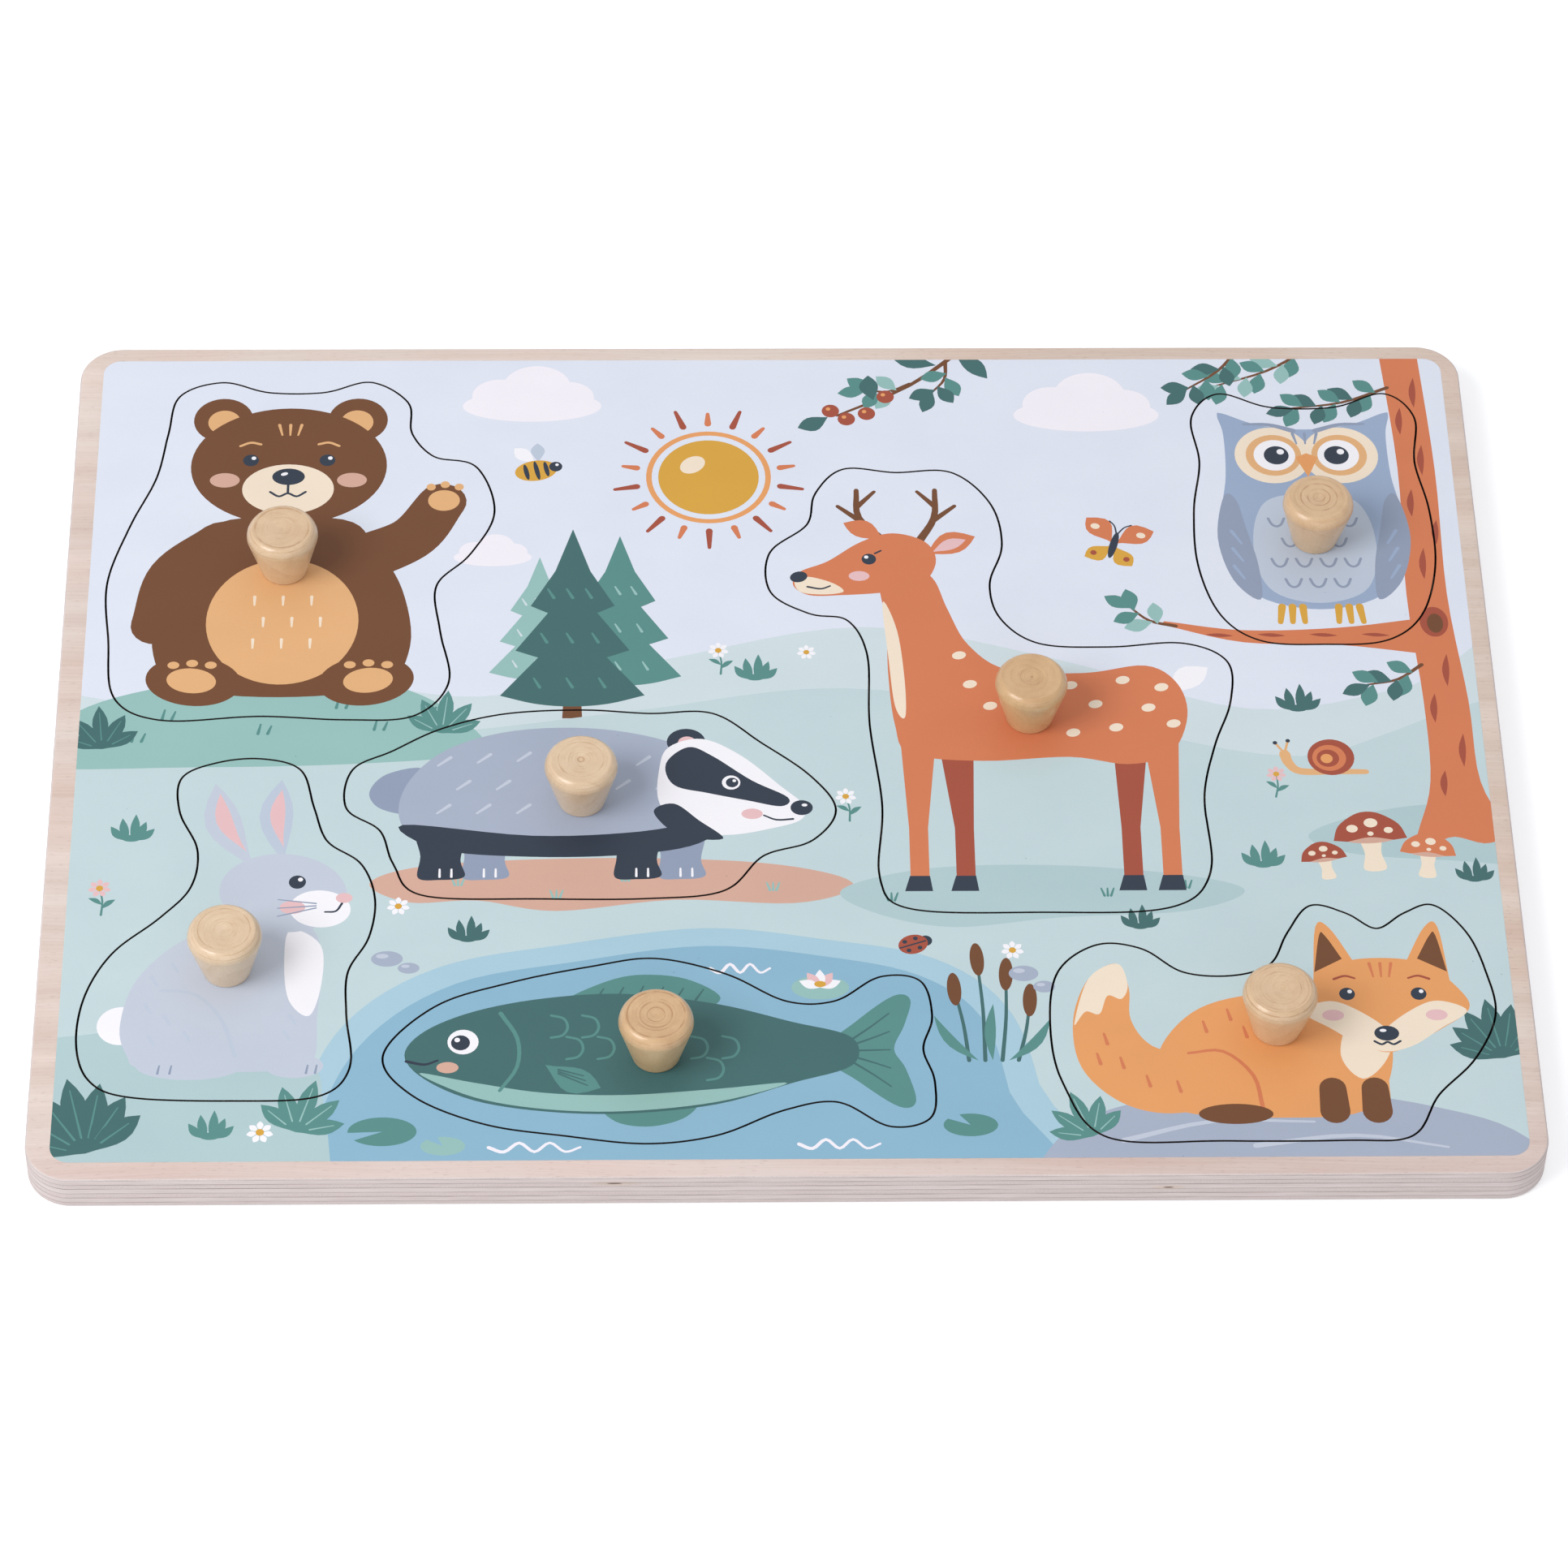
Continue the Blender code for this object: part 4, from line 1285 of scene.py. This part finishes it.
for i in range(17):
    row, column = divmod(i, 6)
    x, y = -27 + 8.2 * column + 4 * (row % 2), 11.4 - 6.4 * row
    if row == 0:
        y += column * (5 - column) / 5
    if abs(x) > 9 or y > 14 or y < -6:
        p.line("slate_light", [(x, y), (x - 2.6, y - 2.2)], 0.8, 0.5)
p.oval("charcoal", 21.6, 15.4, 4.0, 3.6)
p.oval("pink", 21.8, 15.2, 1.9, 1.7)
p.blob("white", [
    (16, 8), (18, 14), (25, 16.2), (33, 11.6), (41, 3.4), (45.6, -1.6), (45.2, -5.4), (40, -7.6),
    (30, -9.6), (21, -8), (16, -1)])
p.blob("charcoal", [
    (17.4, 9.6), (22, 14.0), (27, 11.6), (35, 5.0), (42.4, 0.4), (41, -2.0), (34, -0.4), (26, 1.6),
    (19, 3.8)])
p.blob("charcoal", [(14.8, -3.4), (20, -9.6), (29, -10.6), (24, -5.6), (19, -1.2)])
p.oval("charcoal", 45.2, -2.4, 2.3, 2.0)
p.oval("white", 45.8, -1.7, 0.6, 0.4)
p.oval("white", 30.8, 4.4, 1.9)
p.eye(31.0, 4.4, 1.3)
p.line("charcoal", [(43.4, -5.4), (40.0, -5.6), (37.4, -4.4)], 0.5, 0.4)
p.oval("pink", 35.0, -4.0, 2.2, 1.4)

tally("badger")

# %% [markdown]
# The fox lies curled on a rock and looks out over its tail.

# %% Draw the fox
p = Brush(*KNOBS["fox"])
p.blob("orange", [
    (-12, -18), (-22, -21.4), (-32, -18.6), (-39.4, -10), (-40.6, 2), (-37, 12.6), (-31, 16.4), (-29, 10),
    (-29, 2), (-25, -4.6), (-16, -8)])
p.blob("cream", [
    (-40.4, 1), (-37, 12.6), (-31, 16.4), (-29.2, 11), (-30.6, 7.4), (-33.4, 8.2), (-35.2, 3.6),
    (-38, 4.2)])
p.blob("orange", [
    (-20, -21), (0, -22.6), (16, -21), (22, -12), (22, 0), (14, 8), (-2, 8.6), (-15, 5), (-23, -4),
    (-24.6, -14)])
p.line("terracotta", [(-4, -20), (-5.4, -12), (-11, -6), (-18, -6.4)], 0.9, 0.6)
for x in (10.0, 18.4):
    p.line("orange", [(x, -6), (x + 0.3, -20)], 6.4, 5.6)
    p.line("bark", [(x + 0.2, -15.4), (x + 0.3, -21.0)], 5.4, 6.0)
p.oval("bark", -9.4, -21.6, 7.4, 2.5)
p.blob("cream", [(15.4, 2), (23, 0), (21.6, -8), (16.4, -13.0), (12.4, -7)])
for side in (-1, 1):
    for ink, ear in (
            ("orange", ((5, 16), (9.6, 25.4), (12.4, 25.6), (13.8, 11))),
            ("bark", ((7.6, 17.4), (10.6, 23.4), (11.8, 23.4), (13.4, 14)))):
        p.fill(ink, curve([(22 + x * side, y) for x, y in ear]))
p.blob("orange", [
    (22, 17.6), (31, 16), (37.4, 9.6), (39.0, 4.4), (33, -0.6), (26, -5.0), (22, -6.4), (18, -5.0),
    (11, -0.6), (5.0, 4.4), (6.6, 9.6), (13, 16)])
cheek = ((16.6, 4.0), (11, 6.6), (5.6, 4.4), (-0.4, -1.0), (-0.6, -6.0), (5, -4.8), (11, -0.4))
for side in (-1, 1):
    p.blob("cream", [(22 + x * side, y) for x, y in cheek])
    p.eye(22 + 7.2 * side, 8.4, 1.6)
    p.line("rust", [(22 + 9.6 * side, 12.2), (22 + 7.4 * side, 13.0), (22 + 5.4 * side, 12.4)], 0.6, 0.45)
    p.oval("pink", 22 + 10.4 * side, 3.0, 2.2, 1.4)
p.line("charcoal", [(19.4, -3.6), (20.8, -4.4), (22, -3.8), (23.2, -4.4), (24.6, -3.6)], 0.5)
p.oval("charcoal", 22, -1.6, 2.5, 1.9)
p.oval("white", 21.3, -0.9, 0.7, 0.4)
for i in range(3):
    p.line("terracotta", [(19.8 + 2.2 * i, 16.2), (20.4 + 1.6 * i, 12.8)], 0.7, 0.4)
for x, y in (
        (-34, -4), (-31, -10), (-26, -14.6), (-35.6, -9), (-20, -16), (-9, 2), (-14, -1), (-6, -2.4)):
    p.line("terracotta", [(x, y), (x - 0.6, y + 2.6)], 0.8, 0.5)

tally("fox")

# %% [markdown]
# ## Printing it
# Stacked shapes would flicker and cast shadows on each other, so they are flattened first. One
# triangulation of all their outlines, with the laser's cuts among them, gives small triangles that
# never cross a line, and each takes the ink of the topmost shape that covers it. The triangles
# inside an animal's outline become its own print, and the rest is the tray's. Each print is then
# thickened to a film of ink, four hundredths of a millimetre, that lies on the wood.

# %% Flatten the picture
PRINT_LEFT, PRINT_RIGHT, PRINT_FRONT, PRINT_BACK, PRINT_CORNER = -145.05, 146.15, -108.15, 108.7, 3.8


def print_area():
    """The rounded rectangle that the ink fills."""
    corners = ((PRINT_RIGHT, PRINT_BACK), (PRINT_LEFT, PRINT_BACK),
               (PRINT_LEFT, PRINT_FRONT), (PRINT_RIGHT, PRINT_FRONT))
    outline = []
    for i, (x, y) in enumerate(corners):
        x -= math.copysign(PRINT_CORNER, x)
        y -= math.copysign(PRINT_CORNER, y)
        for step in range(9):
            angle = math.radians(90 * i + 90 * step / 8)
            outline.append((x + PRINT_CORNER * math.cos(angle), y + PRINT_CORNER * math.sin(angle)))
    return outline


loops = [outline for ink, outline in picture]
FIRST_CUT = len(loops)
loops += [print_area()] + OPENINGS + list(PIECE_OUTLINES.values())
FIRST_OPENING = FIRST_CUT + 1
FIRST_PIECE = FIRST_OPENING + len(OPENINGS)
points, faces = [], []
for outline in loops:
    faces.append(list(range(len(points), len(points) + len(outline))))
    points += [Vector(p) for p in outline]
flat_points, _, triangles, _, _, covers = delaunay_2d_cdt(points, [], faces, 1, 1e-4, True)

prints = {name: [] for name in ["tray"] + ANIMALS}   # (corners, ink)
for corners, cover in zip(triangles, covers):
    shapes = [i for i in cover if i < FIRST_CUT]
    cuts = [i for i in cover if i >= FIRST_CUT]
    if not shapes or FIRST_CUT not in cuts:
        continue
    ink = picture[max(shapes)][0]
    if max(cuts) >= FIRST_PIECE:
        prints[ANIMALS[max(cuts) - FIRST_PIECE]].append((corners, ink))
    elif max(cuts) == FIRST_CUT:
        prints["tray"].append((corners, ink))
print("triangles:", {name: len(found) for name, found in prints.items()})

# %% [markdown]
# The ink itself is a satin layer. Close up it isn't quite even: it is a touch mottled, has a fine
# tooth, carries rare tiny specks, and the veneer's fibres telegraph through it. These show in the
# colour, the gloss and the relief alike, so one group makes them all. The ink's own colour comes
# from the corners of the triangles.

# %% The ink's finish
SPECKS = 0.18   # cells per millimetre, of which some hold a speck

ink_layer, given, end = start_group(
    "ink layer", {"Place": "Vector", "Ink": "Color"},
    {"Color": "Color", "Roughness": "Float", "Height": "Float"})
tree = ink_layer
mottle = noise(tree, given["Place"], 12, (1.6, 1, 1), 3)
tooth = noise(tree, given["Place"], 0.22, (1, 1, 1), 2)
fibre = noise(tree, given["Place"], 0.5, (40, 1, 1), 3)
blotches, pits = (spread(tree, part, 0.3, 0.7, 0, 0.5) for part in (mottle, tooth))
uneven = maths(tree, "ADD", blotches, pits)
deeper = mix(tree, 1.0, given["Ink"], (0.93, 0.94, 0.95), "MULTIPLY")
colour = mix(tree, uneven, given["Ink"], deeper)
cells = vector_maths(tree, "MULTIPLY", given["Place"], (SPECKS, SPECKS, 0.0))
dots = add_node(tree, "TexVoronoi", {"Vector": cells, "Scale": 1.0})
chance = add_node(tree, "SeparateColor", {0: dots.outputs["Color"]}).outputs[0]
radius = spread(tree, chance, 0.6, 1.0, 0.0, 0.03)
speck = maths(tree, "LESS_THAN", dots.outputs["Distance"], radius)
colour = mix(tree, maths(tree, "MULTIPLY", speck, 0.35), colour, srgb(70, 72, 84))
feed(tree, end, {"Color": colour, "Roughness": spread(tree, uneven, 0, 1, 0.42, 0.52),
                 "Height": maths(tree, "ADD", fibre, maths(tree, "MULTIPLY", tooth, 0.5))})

printed, tree, shader = start_material("printed_ink", Specular_IOR_Level=0.25)
ink = add_node(tree, "VertexColor", layer_name="ink").outputs["Color"]
layer = use_group(tree, ink_layer, {"Place": in_millimetres(tree), "Ink": ink})
feed(tree, shader, {"Base Color": layer["Color"], "Roughness": layer["Roughness"],
                    "Normal": bump(tree, layer["Height"], 0.012)})
print(ink_layer.name, "has", len(ink_layer.nodes), "nodes")

# %% Lay the films
FILM_LIFT, FILM_THICKNESS = 0.002, 0.038
INK_LEVELS = {ink: (*srgb(*tint), 1.0) for ink, tint in INKS.items()}


def lay_film(name, found):
    """A closed film of ink from flat triangles, with the inks kept in a colour layer."""
    used = sorted({corner for corners, ink in found for corner in corners})
    place = {corner: i for i, corner in enumerate(used)}
    height = FACE_TOP + (FILM_LIFT + FILM_THICKNESS) * MM
    faces = [[place[corner] for corner in corners] for corners, ink in found]
    film = flat_piece(name, [flat_points[corner] for corner in used], faces, height)
    inks = film.data.color_attributes.new(name="ink", type="FLOAT_COLOR", domain="CORNER")
    levels = [level for corners, ink in found for level in INK_LEVELS[ink] * len(corners)]
    inks.data.foreach_set("color", levels)
    film.data.materials.append(printed)
    only(film)
    body = film.modifiers.new("thickness", "SOLIDIFY")
    body.thickness = FILM_THICKNESS * MM
    body.offset = -1
    bpy.ops.object.modifier_apply(modifier="thickness")
    return film


for name, found in prints.items():
    film = lay_film("print_" + name, found)
    if name == "tray":
        finish_piece(film, "tray", "printed_plywood", "top_board")
    else:
        finish_piece(film, name, "printed_" + name, "piece_" + name)
    print(film.name, len(film.data.polygons), "faces")

# %% [markdown]
# ## The knobs
# A knob is turned from a stick of pale hardwood: a straight taper that widens upwards, a rounded
# shoulder and a flat top, with the lower edge just broken so that it doesn't bite into the print.
# The wood's rings run round the stick and its fibres along it, so the pattern is solid and not
# painted on. The turning tool leaves finer rings of its own on the end, round the knob's middle,
# and sanding takes them off the side. The end grain also drinks more lacquer, so it is a little
# darker and warmer than the side. That tint is partly painted reflection too: it keeps the side
# paler and cooler, like the greyish reflection on it. Each copy stores where in the stick it was,
# a few millimetres off the middle and turned its own way, and where it stood in the lathe. One
# material then gives every knob its own figure.

# %% The turned wood
TOP = KNOB_TOP / MM
YEAR_RING = 1.6   # millimetres between two growth rings


def from_axis(tree, place):
    """How far a place is from its upright axis."""
    return vector_maths(tree, "LENGTH", vector_maths(tree, "MULTIPLY", place, (1, 1, 0)))


turned_wood, given, end = start_group(
    "turned wood",
    {"Stick": "Vector", "Lathe": "Vector", "End": "Float", "Pale": "Color", "Dark": "Color"},
    {"Color": "Color", "Height": "Float"})
tree = turned_wood
bend = spread(tree, noise(tree, given["Stick"], 7, (1, 1, 5)), 0.2, 0.8, -0.6, 0.6)
from_pith = from_axis(tree, given["Stick"])
year = maths(tree, "FRACT", maths(tree, "DIVIDE", maths(tree, "ADD", from_pith, bend), YEAR_RING))
faint = spread(tree, noise(tree, given["Stick"], 3, (1, 1, 6), 1), 0.35, 0.65, 0.15, 1.0)
late = maths(tree, "MULTIPLY", maths(tree, "POWER", year, 2.0), faint)
fibre = noise(tree, given["Stick"], 0.28, (1, 1, 22), 3)
pore = spread(tree, noise(tree, given["Stick"], 0.13, (1, 1, 9), 1), 0.64, 0.74)
cloud_tone = noise(tree, given["Stick"], 4, (1, 1, 2), 2)
tone = maths(tree, "ADD", maths(tree, "MULTIPLY", late, 0.25), spread(tree, fibre, 0.3, 0.7, 0, 0.2))
tone = maths(tree, "ADD", tone, spread(tree, cloud_tone, 0.3, 0.7, -0.05, 0.25))
height = add_node(tree, "SeparateXYZ", {0: given["Lathe"]}).outputs["Z"]
tool = maths(tree, "SUBTRACT", from_axis(tree, given["Lathe"]), height)
tool = add_node(tree, "CombineXYZ", {"X": tool}).outputs[0]
groove = spread(tree, noise(tree, tool, 0.7, (1, 1, 1), 2), 0.54, 0.64)
groove = maths(tree, "MULTIPLY", groove, maths(tree, "MULTIPLY", faint, given["End"]))
tone = maths(tree, "ADD", tone, groove)
colour = mix(tree, tone, given["Pale"], given["Dark"])
colour = mix(tree, maths(tree, "MULTIPLY", pore, 0.25), colour, given["Dark"], "MULTIPLY")
grain = maths(tree, "MULTIPLY", maths(tree, "SUBTRACT", fibre, pore), 0.3)
feed(tree, end, {"Color": colour, "Height": maths(tree, "SUBTRACT", grain, groove)})

knob_wood, tree, shader = start_material("knob_wood", Roughness=0.5, Coat_Weight=0.9, Coat_Roughness=0.23)
stored = {}
for name in ("stick", "lathe", "honey"):
    stored[name] = add_node(tree, "Attribute", attribute_name=name).outputs
honey = stored["honey"]["Fac"]
pale = mix(tree, honey, srgb(227, 204, 176), srgb(212, 175, 128))
dark = mix(tree, honey, srgb(198, 164, 127), srgb(175, 129, 81))
height = add_node(tree, "SeparateXYZ", {0: in_millimetres(tree)}).outputs["Z"]
end_grain = spread(tree, height, TOP - 3, TOP - 0.5)
wood = use_group(tree, turned_wood, {"Stick": stored["stick"]["Vector"], "Lathe": stored["lathe"]["Vector"],
                                     "End": end_grain, "Pale": pale, "Dark": dark})
# the top is tinted darker and warmer: end grain that drinks more lacquer, and painted reflection that keeps
# the side paler and cooler
colour = mix(tree, end_grain, wood["Color"], (0.965, 0.93, 0.89), "MULTIPLY")
feed(tree, shader, {"Base Color": colour, "Normal": bump(tree, wood["Height"], 0.013)})
print(turned_wood.name, "has", len(turned_wood.nodes), "nodes")

# %% Turn one knob and copy it
KNOB_TOP_RADIUS, KNOB_FOOT_RADIUS = 7.5, 4.9
SHOULDER_WIDTH, SHOULDER_DEPTH, FOOT_ROUND = 2.4, 2.5, 0.4
KNOB_LENGTH = 40   # millimetres of the stick from one knob to the next
KNOB_FOOT = FACE_TOP / MM + 0.06   # just over the film of ink


def arc(centre_radius, centre_height, across, up, start, end, steps):
    """Part of an oval in the profile, anticlockwise between two angles in degrees."""
    angles = [math.radians(start + (end - start) * step / steps) for step in range(steps + 1)]
    return [(centre_radius + across * math.cos(a), centre_height + up * math.sin(a)) for a in angles]


def copy_of(original, name, animal):
    """A copy with a mesh of its own, where this animal's knob is."""
    piece = original.copy()
    piece.data = original.data.copy()
    piece.name = name + animal
    bpy.context.collection.objects.link(piece)
    piece.location.xy = KNOBS[animal] * MM
    return piece


def store_places(piece, name, turn, shift):
    """Stores on each point where it is, in millimetres, turned and then shifted."""
    spin = Matrix.Rotation(math.radians(turn), 3, "Z")
    places = piece.data.attributes.new(name, "FLOAT_VECTOR", "POINT")
    for vert, place in zip(piece.data.vertices, places.data):
        place.vector = spin @ (vert.co / MM) + Vector(shift)


profile = [(HOLE_RADIUS, TOP - 4.5), (HOLE_RADIUS, KNOB_FOOT)]
profile += arc(KNOB_FOOT_RADIUS - FOOT_ROUND, KNOB_FOOT + FOOT_ROUND, FOOT_ROUND, FOOT_ROUND, -90, 0, 5)
steep = SHOULDER_DEPTH / math.sin(math.radians(65))
profile += arc(KNOB_TOP_RADIUS - SHOULDER_WIDTH, TOP - SHOULDER_DEPTH, SHOULDER_WIDTH, steep, 0, 65, 12)
profile += [(6.0, TOP), (5.8, TOP), (0.8, TOP), (0.45, TOP - 0.07), (0.1, TOP - 0.1)]
first_knob = turned("turned_knob", profile, 96)
first_knob.data.materials.append(knob_wood)

# across and along the stick in millimetres, turn in degrees, and how honey-coloured the wood is
STICKS = {"bear": (1.0, 0.6, 20, 0.4), "deer": (-0.7, 1.2, 130, 1.0), "fish": (0.5, -0.3, 75, 0.9),
          "owl": (-1.4, -0.8, 240, 0.65), "rabbit": (0.9, 1.8, 300, 0.1), "badger": (2.1, 0.5, 190, 0.15),
          "fox": (-0.6, -1.4, 50, 0.5)}
for i, (animal, (across, along, turn, honey)) in enumerate(STICKS.items()):
    knob = copy_of(first_knob, "turned_knob_", animal)
    store_places(knob, "stick", turn, (across, along, KNOB_LENGTH * i))
    store_places(knob, "lathe", 0, (0, 0, KNOB_LENGTH * i))
    tint = knob.data.attributes.new("honey", "FLOAT", "POINT")
    tint.data.foreach_set("value", [honey] * len(tint.data))
    finish_piece(knob, animal, "knob_wood", "knob_" + animal)
bpy.data.objects.remove(first_knob)
print("knobs:", len(STICKS), "each of", len(knob.data.polygons), "faces")

# %% [markdown]
# ## The screws
# Nobody sees them while the puzzle is whole: a short countersunk screw in the underside of each
# animal. Only its head shows when the piece is lifted out and turned over. It is turned like the
# knob, with many rows along its shank. A thread is a ridge that climbs as it goes round, so each
# point of the shank is moved outwards by how near the ridge passes it. The cross recess is cut
# with a tapered punch, a cube that is narrowed at one end, and no two screws stopped at one angle.

# %% Turn one screw and copy it
zinc, tree, shader = start_material("zinc_plated_steel", Metallic=1.0)
place = in_millimetres(tree)
brush_marks = noise(tree, place, 0.3, (1, 1, 0.2), 3)
haze = noise(tree, place, 1.6, (1, 1, 1), 2)
colour = mix(tree, haze, srgb(196, 198, 200), srgb(220, 219, 212))
feed(tree, shader, {"Base Color": colour, "Roughness": spread(tree, haze, 0.3, 0.7, 0.26, 0.42),
                    "Normal": bump(tree, brush_marks, 0.004)})

SCREW_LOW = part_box("screw_bear")[0].z / MM
SCREW_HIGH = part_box("screw_bear")[1].z / MM
HEAD, CREST, CORE, LEAD, TAPER = 2.8, 1.45, 1.0, 1.4, 2.6   # radii, the thread's climb, the tip's length
RIDGE_HALF = 0.3                                            # half the ridge's width, as a share of a turn
HEAD_RIM = SCREW_LOW + 0.3
NECK = HEAD_RIM + HEAD - CREST
profile = [(HEAD - 0.15, SCREW_LOW), (HEAD, SCREW_LOW + 0.1), (HEAD, HEAD_RIM), (CREST, NECK)]
rows = round(8 * (SCREW_HIGH - NECK) / LEAD)
profile += [(CREST, NECK + (SCREW_HIGH - NECK) * row / rows) for row in range(1, rows)]
first_screw = turned("wood_screw", profile + [(0.15, SCREW_HIGH)], 32)
for vert in first_screw.data.vertices:
    height = vert.co.z / MM
    if NECK + 0.01 < height < SCREW_HIGH - 0.01:
        climb = (height / LEAD - math.atan2(vert.co.y, vert.co.x) / math.tau) % 1
        ridge = max(0, 1 - abs(climb - 0.5) / RIDGE_HALF)
        radius = (CORE + (CREST - CORE) * ridge) * min(1, 0.12 + (SCREW_HIGH - height) / TAPER)
        vert.co.xy *= radius / CREST
for turn in (0, 90):
    bpy.ops.object.select_all(action="DESELECT")
    bpy.ops.mesh.primitive_cube_add(size=2 * MM, location=(0, 0, SCREW_LOW * MM))
    punch = bpy.context.object
    punch.scale = (1.6, 0.4, 1.1)
    punch.rotation_euler.z = math.radians(turn)
    bpy.ops.object.transform_apply(location=True, rotation=True, scale=True)
    bpy.ops.object.mode_set(mode="EDIT")
    select_edges(punch, lambda co: co.z > SCREW_LOW * MM)
    bpy.ops.transform.resize(value=(0.7, 0.7, 1), center_override=(0, 0, 0))
    bpy.ops.object.mode_set(mode="OBJECT")
    cut(first_screw, punch)
first_screw.data.materials.clear()
first_screw.data.materials.append(zinc)
for i, animal in enumerate(ANIMALS):
    screw = copy_of(first_screw, "wood_screw_", animal)
    screw.rotation_euler.z = math.radians(23 + 67 * i)
    finish_piece(screw, animal, "screw_steel", "screw_" + animal)
bpy.data.objects.remove(first_screw)
print("screws:", len(ANIMALS), "each of", len(screw.data.polygons), "faces")
